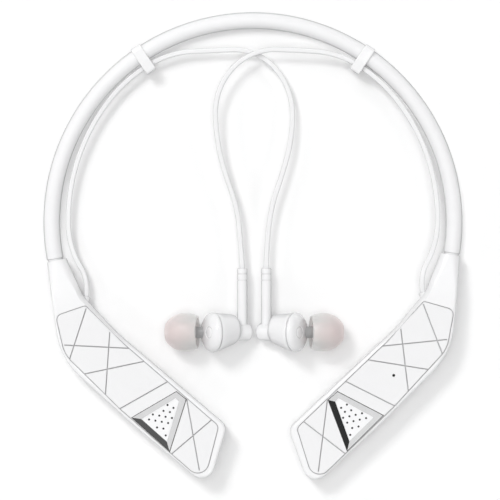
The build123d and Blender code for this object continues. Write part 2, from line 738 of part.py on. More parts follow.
def turned(point, angle, pivot=(0, 0)):
    """A plan point turned about a pivot."""
    run_x = point[0] - pivot[0]
    run_y = point[1] - pivot[1]
    cosine = cos(radians(angle))
    sine = sin(radians(angle))
    return (pivot[0] + run_x * cosine - run_y * sine, pivot[1] + run_x * sine + run_y * cosine)


def arc_cable(points, heading, lead, tail):
    """A round cable in the plan: arcs that run on smoothly through the points."""
    direction = Vector(cos(radians(heading)), sin(radians(heading)))
    with BuildPart(mode=Mode.PRIVATE) as cable:
        with BuildLine() as path:
            if lead:
                Line(Vector(*points[0]) - direction * lead, points[0])
            for start, end in zip(points, points[1:]):
                arc = TangentArc(start, end, tangent=direction)
                direction = arc % 1
            if tail:
                Line(points[-1], Vector(*points[-1]) + direction * tail)
        with BuildSketch(Plane(origin=path.line @ 0, z_dir=path.line % 0)):
            Circle(CABLE_RADIUS)
        sweep()
    return cable.part


def fixed_cable(side):
    """The length of cable that stays with the band."""
    wing = WING_RUN
    band_end = BAND_END_LEFT if side == "left" else 180 - BAND_END_RIGHT
    band_run = [(band_end - BAND_START, BAND_START_RADIUS)] + BAND_RUN
    band = [polar_point(angle, radius) for angle, radius in band_run]
    loop = LOOP_RUN
    heading = EXIT_HEADING
    if side == "right":
        arc_turn = BAND_END_RIGHT - (180 - BAND_END_LEFT)
        pivot = polar_point(BAND_END_RIGHT, BAND_RADIUS)
        wing = [turned(mirror_x(point, 0), arc_turn) for point in wing]
        wing = [turned(point, RIGHT_TOE_OUT, pivot) for point in wing]
        band = [mirror_x(point, 0) for point in band]
        loop = [mirror_x(point, LOOP_CENTRE) for point in loop]
        heading = 180 - heading + arc_turn + RIGHT_TOE_OUT
    return Pos(0, 0, CABLE_LEVEL[side]) * arc_cable(wing + band + loop, heading, CABLE_START, 0)


def bud_cable(bud):
    """The length of cable that hangs to an earbud, with a round end at its bend."""
    run = DROP_RUN
    level = CABLE_LEVEL["left"]
    if bud == "left":
        run = [mirror_x(point, LOOP_CENTRE) for point in run[:-1]] + [mirror_x(run[-1], BUD_CENTRE)]
        level = CABLE_LEVEL["right"]
    hinge_x = run[0][0]
    flat = [(x - hinge_x, y - HINGE_Y) for x, y in run]
    slope = degrees(atan2(level - STEM_Z, HINGE_Y - STEM_TOP))
    cable = arc_cable(flat, -90, 0, DROP_END) + Sphere(CABLE_RADIUS)
    return Pos(hinge_x, HINGE_Y, level) * Rot(slope, 0, 0) * cable


# ---------------------------------------------------------------- earbuds
TILT_COS = cos(radians(BUD_TILT))
TILT_SIN = sin(radians(BUD_TILT))
STEM_X = BUD_X + STEM_FROM_RIM * TILT_COS
STEM_Z = BUD_Z - STEM_FROM_RIM * TILT_SIN
BODY_AXIS = Axis((BUD_X, BUD_Y, BUD_Z), (-TILT_COS, 0, TILT_SIN))
BODY_PLANE = Plane(origin=(BUD_X, BUD_Y, BUD_Z), x_dir=(-TILT_COS, 0, TILT_SIN), z_dir=(0, -1, 0))
NOZZLE_FORWARD = 1.0        # where the nozzle's axis starts, from the rim's centre
NOZZLE_DOWN = 2.0
NOZZLE_START = (
    BUD_X - NOZZLE_FORWARD * TILT_COS - NOZZLE_DOWN * TILT_SIN,
    BUD_Y,
    BUD_Z + NOZZLE_FORWARD * TILT_SIN - NOZZLE_DOWN * TILT_COS,
)
NOZZLE_DIR = (-cos(radians(NOZZLE_TILT)), 0, -sin(radians(NOZZLE_TILT)))
NOZZLE_AXIS = Axis(NOZZLE_START, NOZZLE_DIR)
NOZZLE_PLANE = Plane(origin=NOZZLE_START, x_dir=NOZZLE_DIR, z_dir=(0, -1, 0))
NOZZLE_RADIUS = 1.95
NOZZLE_BORE = 1.3
NOZZLE_LENGTH = 9.0
CAP_BACK = -0.9
CAP_WALL = 1.0
CAP_HEIGHT = 3.0
CAP_FLAT = 0.6
BODY_LENGTH = 9.0
BODY_BACK_RADIUS = 4.75
BARREL_END = 14.0
SEAM = 0.12                 # fine gap between cap and body
DRIVER_RADIUS = 4.7


def turn_profile(plane, axis, points, arcs=()):
    """A solid of revolution; arcs are (through, end) pairs that follow the points."""
    with BuildPart(mode=Mode.PRIVATE) as solid:
        with BuildSketch(plane):
            with BuildLine():
                Polyline(*points)
                last = points[-1]
                for through, end in arcs:
                    ThreePointArc(last, through, end)
                    last = end
                Line(last, points[0])
            make_face()
        revolve(axis=axis)
    return solid.part


def nozzle_bar(radius, start, length):
    """A round bar on the nozzle's axis."""
    with BuildPart(mode=Mode.PRIVATE) as bar:
        with BuildSketch(Plane(origin=NOZZLE_START, z_dir=NOZZLE_DIR).offset(start)):
            Circle(radius)
        extrude(amount=length)
    return bar.part


def front_cap():
    """Domed front of an earbud with its slanted nozzle."""
    with BuildPart(mode=Mode.PRIVATE) as cap:
        with BuildSketch(BODY_PLANE):
            with BuildLine():
                Polyline(
                    (CAP_HEIGHT, 0),
                    (CAP_HEIGHT - CAP_WALL, 0),
                    (CAP_HEIGHT - CAP_WALL, CAP_FLAT),
                )
                ThreePointArc(
                    (CAP_HEIGHT - CAP_WALL, CAP_FLAT),
                    (CAP_HEIGHT * 0.45, RIM_RADIUS * 0.55),
                    (CAP_BACK + 0.5, RIM_RADIUS - CAP_WALL),
                )
                Polyline(
                    (CAP_BACK + 0.5, RIM_RADIUS - CAP_WALL),
                    (CAP_BACK, RIM_RADIUS - CAP_WALL),
                    (CAP_BACK, RIM_RADIUS - 0.25),
                    (CAP_BACK + 0.25, RIM_RADIUS),
                    (0, RIM_RADIUS),
                )
                ThreePointArc(
                    (0, RIM_RADIUS),
                    (CAP_HEIGHT * 0.66, RIM_RADIUS * 0.7),
                    (CAP_HEIGHT, CAP_FLAT),
                )
                Line((CAP_HEIGHT, CAP_FLAT), (CAP_HEIGHT, 0))
            make_face()
        revolve(axis=BODY_AXIS)
        add(nozzle_bar(NOZZLE_RADIUS, 2.0, NOZZLE_LENGTH - 2.0))
        add(nozzle_bar(NOZZLE_RADIUS + 0.3, NOZZLE_LENGTH - 2.2, 0.8))
        add(nozzle_bar(NOZZLE_BORE, -0.4, NOZZLE_LENGTH + 1), mode=Mode.SUBTRACT)
    return cap.part


def rear_housing():
    """Tapered body of an earbud with the barrel that takes the stem."""
    corner = 2.2
    body = turn_profile(
        BODY_PLANE,
        BODY_AXIS,
        [
            (CAP_BACK - SEAM, 0),
            (CAP_BACK - SEAM, RIM_RADIUS - 0.25),
            (CAP_BACK - SEAM - 0.3, RIM_RADIUS - 0.1),
            (-BODY_LENGTH + corner, BODY_BACK_RADIUS + 0.35),
        ],
        [((-BODY_LENGTH + 0.6, BODY_BACK_RADIUS - 0.6), (-BODY_LENGTH, BARREL_RADIUS))],
    )
    barrel = turn_profile(
        BODY_PLANE,
        BODY_AXIS,
        [
            (-BODY_LENGTH + 1, 0),
            (-BODY_LENGTH + 1, BARREL_RADIUS),
            (-BARREL_END + 0.8, BARREL_RADIUS),
            (-BARREL_END, BARREL_RADIUS - 0.8),
            (-BARREL_END, 0),
        ],
    )
    hollow = turn_profile(
        BODY_PLANE,
        BODY_AXIS,
        [
            (CAP_BACK, 0),
            (CAP_BACK, RIM_RADIUS - CAP_WALL - 0.3),
            (-BODY_LENGTH + 2.6, BODY_BACK_RADIUS - 0.9),
            (-BODY_LENGTH + 1.2, BODY_BACK_RADIUS - 2.2),
            (-BODY_LENGTH + 1.2, 0),
        ],
    )
    lead_way = turn_profile(
        BODY_PLANE,
        BODY_AXIS,
        [(-BODY_LENGTH, 0), (-BODY_LENGTH, 0.9), (-BARREL_END + 1.4, 0.9), (-BARREL_END + 1.4, 0)],
    )
    return body + barrel - hollow - lead_way - stem_bar(STEM_RADIUS + 0.02, STEM_SEAT)


STEM_SEAT = BUD_Y + 1.2     # the stem's lower end, inside the barrel


def stem_bar(radius, low_end):
    """A round bar on the stem's axis, from its top down."""
    with BuildPart(mode=Mode.PRIVATE) as bar:
        with BuildSketch(Plane(origin=(STEM_X, STEM_TOP, STEM_Z), z_dir=(0, -1, 0))):
            Circle(radius)
        extrude(amount=STEM_TOP - low_end)
    return bar.part


def stem():
    """Strain relief tube between cable and earbud, with two fine rings."""
    with BuildPart(mode=Mode.PRIVATE) as tube:
        add(stem_bar(STEM_RADIUS, STEM_SEAT))
        with BuildSketch(Plane(origin=(STEM_X, STEM_TOP, STEM_Z), z_dir=(0, -1, 0))):
            Circle(CABLE_RADIUS + CABLE_EXIT_FIT)
        extrude(amount=DROP_END + 0.2, mode=Mode.SUBTRACT)
        for ring in (1.75, 3.9):
            with BuildSketch(Plane(origin=(STEM_X, STEM_TOP - ring, STEM_Z), z_dir=(0, -1, 0))):
                Circle(STEM_RADIUS + 0.1)
                Circle(STEM_RADIUS - 0.12, mode=Mode.SUBTRACT)
            extrude(amount=0.2, mode=Mode.SUBTRACT)
    return tube.part


def nozzle_mesh():
    """Fine filter disc seated in the nozzle's bore."""
    return nozzle_bar(NOZZLE_BORE - 0.01, NOZZLE_LENGTH - 0.5, 0.3)


def driver():
    """Sound driver: frame with a dished front."""
    disc = turn_profile(
        BODY_PLANE,
        BODY_AXIS,
        [(-1.3, 0), (-1.1, 3.4), (-1.0, DRIVER_RADIUS), (-2.6, DRIVER_RADIUS), (-3.4, 3.5), (-3.4, 0)],
    )
    return disc


def driver_magnet():
    """Magnet cup behind the driver."""
    return turn_profile(
        BODY_PLANE,
        BODY_AXIS,
        [(-3.42, 0), (-3.42, 3.0), (-5.2, 3.0), (-5.2, 0)],
    )


TIP_REAR = 3.5              # distances along the nozzle's axis
TIP_WIDEST = 7.2
TIP_NOSE = 14.4
TIP_BORE = NOZZLE_RADIUS + 0.35
TIP_CORE = 3.3
TIP_SKIN = 0.65
TIP_RIM = 5.6               # radius of the skirt's open edge
TIP_MOUTH = 1.5


def ear_tip():
    """Soft tip: a core that grips the nozzle, and a domed skirt folded back over it."""
    inner_radius = TIP_RADIUS - TIP_SKIN
    inner_rim = TIP_RIM - TIP_SKIN
    with BuildPart(mode=Mode.PRIVATE) as tip:
        with BuildSketch(NOZZLE_PLANE):
            with BuildLine():
                Line((TIP_NOSE, TIP_MOUTH), (TIP_NOSE, 2.9))
                ThreePointArc((TIP_NOSE, 2.9), (11.9, 5.35), (TIP_WIDEST, TIP_RADIUS))
                ThreePointArc((TIP_WIDEST, TIP_RADIUS), (5.2, 6.2), (TIP_REAR, TIP_RIM))
                Line((TIP_REAR, TIP_RIM), (TIP_REAR, inner_rim))
                ThreePointArc((TIP_REAR, inner_rim), (5.2, 6.2 - TIP_SKIN), (TIP_WIDEST, inner_radius))
                ThreePointArc((TIP_WIDEST, inner_radius), (10.6, 4.95), (12.6, TIP_CORE))
                Polyline(
                    (12.6, TIP_CORE),
                    (TIP_REAR + 0.8, TIP_CORE),
                    (TIP_REAR + 0.8, TIP_BORE),
                    (NOZZLE_LENGTH + 1, TIP_BORE),
                    (NOZZLE_LENGTH + 1.6, TIP_MOUTH),
                    (TIP_NOSE, TIP_MOUTH),
                )
            make_face()
        revolve(axis=NOZZLE_AXIS)
    return tip.part


BUD_PIECES = {
    "front_cap": front_cap(),
    "rear_housing": rear_housing(),
    "stem": stem(),
    "nozzle_mesh": nozzle_mesh(),
    "driver": driver(),
    "driver_magnet": driver_magnet(),
    "ear_tip": ear_tip(),
}
for name, part in BUD_PIECES.items():
    write(part, f"left_{name}")
    write(mirror(part, about=Plane.YZ.offset(BUD_CENTRE), mode=Mode.PRIVATE), f"right_{name}")

write(fixed_cable("left"), "left_fixed_cable")
write(fixed_cable("right"), "right_fixed_cable")
write(bud_cable("left"), "left_bud_cable")
write(bud_cable("right"), "right_bud_cable")
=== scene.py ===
import json
import math

import bmesh
import bpy
from mathutils import Matrix, Vector
from mathutils.geometry import delaunay_2d_cdt


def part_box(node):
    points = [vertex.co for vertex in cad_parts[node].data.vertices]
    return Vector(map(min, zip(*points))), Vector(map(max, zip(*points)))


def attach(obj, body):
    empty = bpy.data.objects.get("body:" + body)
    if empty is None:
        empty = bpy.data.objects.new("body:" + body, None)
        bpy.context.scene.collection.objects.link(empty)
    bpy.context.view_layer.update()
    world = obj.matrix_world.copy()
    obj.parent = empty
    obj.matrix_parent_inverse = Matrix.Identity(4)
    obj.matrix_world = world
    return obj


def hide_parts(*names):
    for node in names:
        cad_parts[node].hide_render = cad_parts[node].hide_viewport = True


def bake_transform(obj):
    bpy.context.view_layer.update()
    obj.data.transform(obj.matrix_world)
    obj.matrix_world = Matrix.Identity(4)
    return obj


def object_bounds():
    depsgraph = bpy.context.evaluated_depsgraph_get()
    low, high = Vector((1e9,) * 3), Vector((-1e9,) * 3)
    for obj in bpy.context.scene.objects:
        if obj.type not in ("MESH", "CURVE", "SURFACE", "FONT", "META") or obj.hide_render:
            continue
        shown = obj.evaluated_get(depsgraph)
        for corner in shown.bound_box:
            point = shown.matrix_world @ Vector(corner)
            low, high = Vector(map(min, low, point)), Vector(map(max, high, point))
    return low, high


# Neckband earphones. Lengths in this script are millimetres in the CAD frame;
# meshes are scaled to metres when they are made.
MM = 0.001
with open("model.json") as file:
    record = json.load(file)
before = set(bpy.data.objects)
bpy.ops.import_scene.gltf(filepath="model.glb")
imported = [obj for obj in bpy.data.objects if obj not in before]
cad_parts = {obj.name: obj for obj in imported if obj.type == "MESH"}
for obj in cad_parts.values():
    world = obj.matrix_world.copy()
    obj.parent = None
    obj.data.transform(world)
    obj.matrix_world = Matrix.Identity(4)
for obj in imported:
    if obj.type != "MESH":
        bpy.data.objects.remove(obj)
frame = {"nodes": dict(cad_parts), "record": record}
cad_low, cad_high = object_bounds()


def node_box(node):
    """Lowest and highest corner of a CAD node, in millimetres."""
    low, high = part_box(node)
    return low / MM, high / MM


# ---------------------------------------------------------------- sizes taken from the frame
sleeve_low, sleeve_high = node_box("neckband_sleeve")
SPLIT = (sleeve_low.z + sleeve_high.z) / 2
TUBE_RADIUS = (sleeve_high.z - sleeve_low.z) / 2
BAND_RADIUS = sleeve_high.y - TUBE_RADIUS
WING_TOP = node_box("left_top_shell")[1].z
PANEL_SEAT = node_box("left_cover_panel")[0].z
bezel_low, bezel_high = node_box("left_bezel")
GRILLE_BACK = node_box("left_grille")[0].z
stem_low, stem_high = node_box("left_stem")
STEM_X = (stem_low.x + stem_high.x) / 2
STEM_Z = (stem_low.z + stem_high.z) / 2
STEM_TOP = stem_high.y
STEM_RADIUS = (stem_high.z - stem_low.z) / 2
tip_low, tip_high = node_box("left_ear_tip")
BUD_Y = (tip_low.y + tip_high.y) / 2
TIP_RADIUS = (tip_high.y - tip_low.y) / 2
right_stem_low, right_stem_high = node_box("right_stem")
BUD_CENTRE = (STEM_X + (right_stem_low.x + right_stem_high.x) / 2) / 2
right_cable_low, right_cable_high = node_box("right_fixed_cable")
left_cable_low, left_cable_high = node_box("left_fixed_cable")
CABLE_RADIUS = (left_cable_high.z - left_cable_low.z) / 2
CABLE_LEVEL = {
    "left": (left_cable_low.z + left_cable_high.z) / 2,
    "right": (right_cable_low.z + right_cable_high.z) / 2,
}

# ---------------------------------------------------------------- shapes
BAND_END_LEFT = 190.8       # angles of the wings' mouths
BAND_END_RIGHT = -9.1
RIGHT_TOE_OUT = 1.2         # degrees that the right wing turns outward
TUBE_INSERT = 3.0           # degrees of tube inside a wing
WALL = 1.2
FLOOR = 1.2
CEILING = 9.0               # top of the hollow
CAVITY_END = -30.0          # the hollow stops here, short of the mouth
# left wing outline from the mouth's inner corner round the tip to its outer corner: x, y, rounding
WING_CORNERS = [
    (-63.2, -12.4, 0),
    (-57.65, -25.0, 9.0),
    (-46.4, -37.3, 40.0),
    (-8.7, -69.2, 4.0),
    (-15.0, -90.0, 4.5),
    (-41.2, -68.1, 60.0),
    (-65.3, -46.2, 25.0),
    (-69.8, -13.8, 0),
]
PANEL_CORNERS = [
    (-56.6, -28.2, 1.2),
    (-44.0, -40.8, 40.0),
    (-11.4, -69.0, 2.2),
    (-16.4, -88.4, 4.0),
    (-45.1, -63.4, 60.0),
    (-63.8, -45.0, 12.0),
    (-66.9, -31.7, 2.4),
]
BEZEL_OUTER = [(-41.3, -66.2), (-25.9, -57.2), (-22.4, -60.0), (-28.1, -78.0)]
BEZEL_INNER = [(-38.2, -66.7), (-26.1, -59.3), (-24.7, -60.7), (-29.0, -74.9)]
GROOVES = [
    ((-56.4, -29.3), (-62.0, -46.5)),
    ((-63.8, -41.7), (-42.0, -42.8)),
    ((-48.4, -37.3), (-49.9, -58.9)),
    ((-57.5, -51.6), (-36.7, -47.2)),
    ((-45.1, -63.3), (-28.7, -54.0)),
    ((-22.4, -60.0), (-18.1, -84.1)),
    ((-27.8, -78.8), (-13.9, -66.9)),
]
MICROPHONE_PLACE = (-45.2, -52.9)
MICROPHONE_RADIUS = 0.5
PANEL_GAP = 0.26            # between the cover panel and its pocket
TRIM_GAP = 0.16             # between the bezel and the openings round it
EXIT_POINT = (-56.9, -26.6)
EXIT_HEADING = 75.0         # direction of the cable there, in degrees from +X
PLAY_KEY = (19.6, 6.4)      # distance from the wing's tip corner, length
VOLUME_KEY = (37.1, 9.6)
KEY_HEIGHT = 2.2
KEY_GAP = 0.15
LID_PLACE = 34.5
LID_SIZE = (9.0, 3.6)
LID_GAP = 0.12
SLIDER_PLACE = (-49.1, -34.35)
SLIDER_ALONG = (0.675, -0.738, 0)
SLIDER_OUT = (0.738, 0.675, 0)
SLIDER_SLOT = (4.0, 1.76)
SLOT_CORNER = 0.15          # small enough to clear the slider's square corners


# ---------------------------------------------------------------- plan helpers
def smooth(value, start, end):
    """0 before start, 1 after end and an even ease between them."""
    share = min(1.0, max(0.0, (value - start) / (end - start)))
    return share * share * (3 - 2 * share)


def heading_vector(angle):
    """Unit plan vector at an angle in degrees from +X."""
    return Vector((math.cos(math.radians(angle)), math.sin(math.radians(angle))))


def run_at(points, index):
    """The way that an open line runs at one of its points."""
    return points[min(index + 1, len(points) - 1)] - points[max(index - 1, 0)]


def rounded(corners, closed=True, spacing=0.7):
    """Points of an outline whose corners are rounded by arcs, with long sides divided."""
    knots = []
    count = len(corners)
    for index, (x, y, radius) in enumerate(corners):
        here = Vector((x, y))
        if not radius:
            knots.append(here)
            continue
        to_before = (Vector(corners[index - 1][:2]) - here).normalized()
        to_after = (Vector(corners[(index + 1) % count][:2]) - here).normalized()
        half = to_before.angle(to_after) / 2
        centre = here + (to_before + to_after).normalized() * radius / math.sin(half)
        start = here + to_before * radius / math.tan(half) - centre
        end = here + to_after * radius / math.tan(half) - centre
        sweep = math.atan2(start.x * end.y - start.y * end.x, start.dot(end))
        steps = max(3, math.ceil(abs(sweep) * max(radius, 2.0) / 0.4))
        for step in range(steps + 1):
            turn = sweep * step / steps
            knots.append(centre + Matrix.Rotation(turn, 2) @ start)
    if closed:
        knots.append(knots[0])
    points = [knots[0]]
    for start, end in zip(knots, knots[1:]):
        steps = max(1, math.ceil((end - start).length / spacing))
        points += [start.lerp(end, step / steps) for step in range(1, steps + 1)]
    return points[:-1] if closed else points


def circle(radius, centre=(0, 0), count=32):
    """Points of a circle, anticlockwise."""
    angles = [2 * math.pi * index / count for index in range(count)]
    return [Vector((centre[0] + radius * math.cos(a), centre[1] + radius * math.sin(a))) for a in angles]


def arc_points(start, through, end, count=12):
    """Points on the arc through three plan points, ends included."""
    a, b, c = (Vector(point) for point in (start, through, end))
    twice_area = (b - a).cross(c - a) * 2
    first = (b - a).length_squared
    second = (c - a).length_squared
    centre = a + Vector((
        (c - a).y * first - (b - a).y * second,
        (b - a).x * second - (c - a).x * first,
    )) / twice_area
    spoke = a - centre
    sweep = math.atan2(spoke.cross(c - centre), spoke.dot(c - centre))
    if sweep * twice_area < 0:
        sweep += math.copysign(2 * math.pi, twice_area)
    return [tuple(centre + Matrix.Rotation(sweep * step / count, 2) @ spoke) for step in range(count + 1)]


def shifted_in(points, distance):
    """A sharp-cornered closed outline moved inward, whichever way round it runs."""
    count = len(points)
    outline = [Vector(point) for point in points]
    area = sum(outline[i].cross(outline[(i + 1) % count]) for i in range(count))
    inward = math.copysign(distance, area)
    moved = []
    for index in range(count):
        before = (outline[index] - outline[index - 1]).normalized()
        after = (outline[(index + 1) % count] - outline[index]).normalized()
        normal_before = Vector((-before.y, before.x))
        normal_after = Vector((-after.y, after.x))
        share = 1 + normal_before.dot(normal_after)
        moved.append(outline[index] + (normal_before + normal_after) * inward / share)
    return moved


def inside(point, loop):
    """Whether a plan point lies within a closed loop."""
    within = False
    for start, end in zip(loop, list(loop[1:]) + [loop[0]]):
        if (start[1] > point.y) != (end[1] > point.y):
            if point.x < start[0] + (end[0] - start[0]) * (point.y - start[1]) / (end[1] - start[1]):
                within = not within
    return within


def fill(loops, inner_points=()):
    """Triangles that fill the region between an outline and its holes; returns points and triangles."""
    points = []
    edges = []
    for loop in loops:
        base = len(points)
        points += [Vector(point) for point in loop]
        edges += [(base + i, base + (i + 1) % len(loop)) for i in range(len(loop))]
    points += [Vector(point) for point in inner_points]
    plan, _, triangles, *_ = delaunay_2d_cdt(points, edges, [], 1, 1e-5)
    kept = []
    for triangle in triangles:
        middle = (plan[triangle[0]] + plan[triangle[1]] + plan[triangle[2]]) / 3
        if not any(inside(middle, hole) for hole in loops[1:]):
            kept.append(list(triangle))
    return plan, kept


def place_right(point):
    """A point of the left wing's drawing, mirrored and turned to its place on the right."""
    mirrored = Vector((-point[0], point[1], point[2]))
    turn = math.radians(BAND_END_RIGHT - (180 - BAND_END_LEFT))
    turned = Matrix.Rotation(turn, 3, "Z") @ mirrored
    pivot = (BAND_RADIUS * heading_vector(BAND_END_RIGHT)).to_3d()
    return pivot + Matrix.Rotation(math.radians(RIGHT_TOE_OUT), 3, "Z") @ (turned - pivot)


def place(side):
    """The function that puts a point of the left wing's drawing on a side."""
    return place_right if side == "right" else Vector


def place_bud(side):
    """The function that puts a point of the left earbud's drawing on a side."""
    if side == "right":
        return lambda point: Vector((2 * BUD_CENTRE - point[0], point[1], point[2]))
    return Vector


# ---------------------------------------------------------------- mesh helpers
def make_object(name, points, faces, material, move=Vector, sharp=35):
    """A mesh object from points in millimetres; faces are turned outward."""
    mesh = bpy.data.meshes.new(name)
    mesh.from_pydata([move(point) * MM for point in points], [], faces)
    work = bmesh.new()
    work.from_mesh(mesh)
    bmesh.ops.remove_doubles(work, verts=work.verts, dist=1e-7)
    bmesh.ops.recalc_face_normals(work, faces=work.faces)
    work.to_mesh(mesh)
    work.free()
    mesh.polygons.foreach_set("use_smooth", [True] * len(mesh.polygons))
    mesh.set_sharp_from_angle(angle=math.radians(sharp))
    if material:
        mesh.materials.append(material)
    thing = bpy.data.objects.new(name, mesh)
    bpy.context.scene.collection.objects.link(thing)
    return thing


def even_normals(thing):
    """Weighted normals, so that flat faces stay flat beside rounded ones."""
    modifier = thing.modifiers.new("even_normals", "WEIGHTED_NORMAL")
    modifier.keep_sharp = True
    return thing


def ring_faces(rows, count, base=0, closed=False):
    """Quads that join each ring of points to the next, and the last to the first if closed."""
    faces = []
    for row in range(rows if closed else rows - 1):
        below = base + row * count
        above = base + (row + 1) % rows * count
        for i in range(count):
            j = (i + 1) % count
            faces.append([below + i, below + j, above + j, above + i])
    return faces


def add_flat(points, faces, loops, level, inner_points=()):
    """Adds triangles that fill an outline and its holes; level(point) gives each point's height."""
    flat, triangles = fill(loops, inner_points)
    base = len(points)
    points += [Vector((p[0], p[1], level(p))) for p in flat]
    faces += [[base + i for i in triangle] for triangle in triangles]


def prism_parts(outline, holes, low, high, edge=0.0, steps=3):
    """Points and faces of an upright block; edge rounds the outer outline's top."""
    levels = [(0.0, low), (0.0, high - edge)]
    if edge:
        for step in range(1, steps + 1):
            angle = math.pi / 2 * step / steps
            levels.append((edge * (1 - math.cos(angle)), high - edge + edge * math.sin(angle)))
    rings = [shifted_in(outline, inset) if inset else outline for inset, _ in levels]
    points = []
    for ring, (_, height) in zip(rings, levels):
        points += [Vector((p[0], p[1], height)) for p in ring]
    faces = ring_faces(len(levels), len(outline))
    for hole in holes:
        faces += ring_faces(2, len(hole), len(points))
        points += [Vector((p[0], p[1], height)) for height in (low, high) for p in hole]
    add_flat(points, faces, [rings[0], *holes], lambda p: low)
    add_flat(points, faces, [rings[-1], *holes], lambda p: high)
    return points, faces


def frame_move(origin, x_dir, z_dir):
    """Turns points of a local frame into points of the drawing."""
    z_axis = Vector(z_dir).normalized()
    x_axis = Vector(x_dir).normalized()
    y_axis = z_axis.cross(x_axis)
    start = Vector(origin)
    return lambda p: start + x_axis * p[0] + y_axis * p[1] + z_axis * p[2]


def revolve(profile, origin, axis, side_axis, turns=96, closed=False):
    """Points and faces of a turned form; the profile holds (along, radius) pairs."""
    along = Vector(axis).normalized()
    first = Vector(side_axis).normalized()
    second = along.cross(first)
    points = []
    for distance, radius in profile:
        for index in range(turns):
            angle = 2 * math.pi * index / turns
            spoke = first * math.cos(angle) + second * math.sin(angle)
            points.append(Vector(origin) + along * distance + spoke * radius)
    rows = len(profile)
    faces = ring_faces(rows, turns, closed=closed)
    if not closed:
        for row in (0, rows - 1):
            if profile[row][1] > 1e-6:
                faces.append([row * turns + index for index in range(turns)])
    return points, faces


def sweep(path, section, ups):
    """A tube along 3-D points; each section point is (sideways, up)."""
    points = []
    for index, here in enumerate(path):
        ahead = run_at(path, index)
        side = ahead.cross(ups).normalized()
        up = side.cross(ahead).normalized()
        points += [here + side * x + up * z for x, z in section]
    count = len(section)
    faces = ring_faces(len(path), count)
    faces.append(list(range(count)))
    faces.append([(len(path) - 1) * count + i for i in range(count)])
    return points, faces


def cut(body, cutters):
    """Takes the cutters out of a body and removes them."""
    group = bpy.data.collections.new("cutters")
    bpy.context.scene.collection.children.link(group)
    for tool in cutters:
        group.objects.link(tool)
    modifier = body.modifiers.new("cut", "BOOLEAN")
    modifier.operation = "DIFFERENCE"
    modifier.solver = "EXACT"
    modifier.operand_type = "COLLECTION"
    modifier.collection = group
    modifier.material_mode = "TRANSFER"
    bpy.context.view_layer.update()
    evaluated = body.evaluated_get(bpy.context.evaluated_depsgraph_get())
    mesh = bpy.data.meshes.new_from_object(evaluated)
    body.modifiers.clear()
    body.data = mesh
    for tool in cutters:
        bpy.data.objects.remove(tool)
    bpy.data.collections.remove(group)
    mesh.polygons.foreach_set("use_smooth", [True] * len(mesh.polygons))
    mesh.set_sharp_from_angle(angle=math.radians(30))
    return body


# ---------------------------------------------------------------- materials
# painted shade: the colour that darkens outlines where a surface turns away from the eye
PAINTED_OUTLINE_SHADE = (0.16, 0.16, 0.165)
BLUSH = (0.93, 0.74, 0.73)


def map_range(tree, value, from_min=0.0, from_max=1.0, to_min=0.0, to_max=1.0, kind="LINEAR"):
    """Maps a node value from one range to another; returns the new value."""
    node = tree.nodes.new("ShaderNodeMapRange")
    node.interpolation_type = kind
    node.inputs["From Min"].default_value = from_min
    node.inputs["From Max"].default_value = from_max
    node.inputs["To Min"].default_value = to_min
    node.inputs["To Max"].default_value = to_max
    tree.links.new(value, node.inputs["Value"])
    return node.outputs["Result"]


def mixed(tree, share, first, second):
    """Mixes two colours, each a colour or a node value, by a share; returns the new colour."""
    node = tree.nodes.new("ShaderNodeMix")
    node.data_type = "RGBA"
    tree.links.new(share, node.inputs[0])
    for socket, colour in ((node.inputs[6], first), (node.inputs[7], second)):
        if isinstance(colour, tuple):
            socket.default_value = (*colour, 1)
        else:
            tree.links.new(colour, socket)
    return node.outputs[2]


def noise(tree, scale, detail):
    """Noise in the object's own space; returns its value."""
    place_node = tree.nodes.new("ShaderNodeTexCoord")
    node = tree.nodes.new("ShaderNodeTexNoise")
    node.inputs["Scale"].default_value = scale
    node.inputs["Detail"].default_value = detail
    tree.links.new(place_node.outputs["Object"], node.inputs["Vector"])
    return node.outputs["Fac"]


def facing(tree, blend):
    """How far a surface turns away from the eye, from 0 to 1."""
    node = tree.nodes.new("ShaderNodeLayerWeight")
    node.inputs["Blend"].default_value = blend
    return node.outputs["Facing"]


def material(
    name, light, dark, roughness, grain=0.02, grain_scale=9000, spots=350,
    metallic=0.0, coat=0.0, subsurface=0.0, wear=0.0, rim=0.0,
):
    """Moulded surface: slow colour drift, uneven gloss, fine grain, paler worn edges and painted shade
    darkening its outline.
    """
    made = bpy.data.materials.new(name)
    made.use_nodes = True
    tree = made.node_tree
    inputs = tree.nodes["Principled BSDF"].inputs
    drift = noise(tree, spots, 3)
    colour = mixed(tree, drift, dark, light)
    if wear:
        shape = tree.nodes.new("ShaderNodeNewGeometry")
        edge = map_range(tree, shape.outputs["Pointiness"], 0.52, 0.62, to_max=wear)
        colour = mixed(tree, edge, colour, (1, 1, 1))
    # painted shade: the colour darkens towards the outline, where the surface turns away from the eye
    if rim:
        outline = map_range(tree, facing(tree, 0.5), 0.40, to_max=rim)
        colour = mixed(tree, outline, colour, PAINTED_OUTLINE_SHADE)
    tree.links.new(colour, inputs["Base Color"])
    gloss = map_range(tree, drift, to_min=roughness * 0.8, to_max=roughness * 1.2)
    tree.links.new(gloss, inputs["Roughness"])
    bump = tree.nodes.new("ShaderNodeBump")
    bump.inputs["Strength"].default_value = 1.0
    bump.inputs["Distance"].default_value = grain * MM
    tree.links.new(noise(tree, grain_scale, 2), bump.inputs["Height"])
    tree.links.new(bump.outputs["Normal"], inputs["Normal"])
    inputs["Metallic"].default_value = metallic
    inputs["Coat Weight"].default_value = coat
    inputs["Coat Roughness"].default_value = 0.08
    if subsurface:
        inputs["Subsurface Weight"].default_value = subsurface
        inputs["Subsurface Scale"].default_value = 0.8 * MM
        inputs["Subsurface Radius"].default_value = (1.0, 0.9, 0.85)
    return made


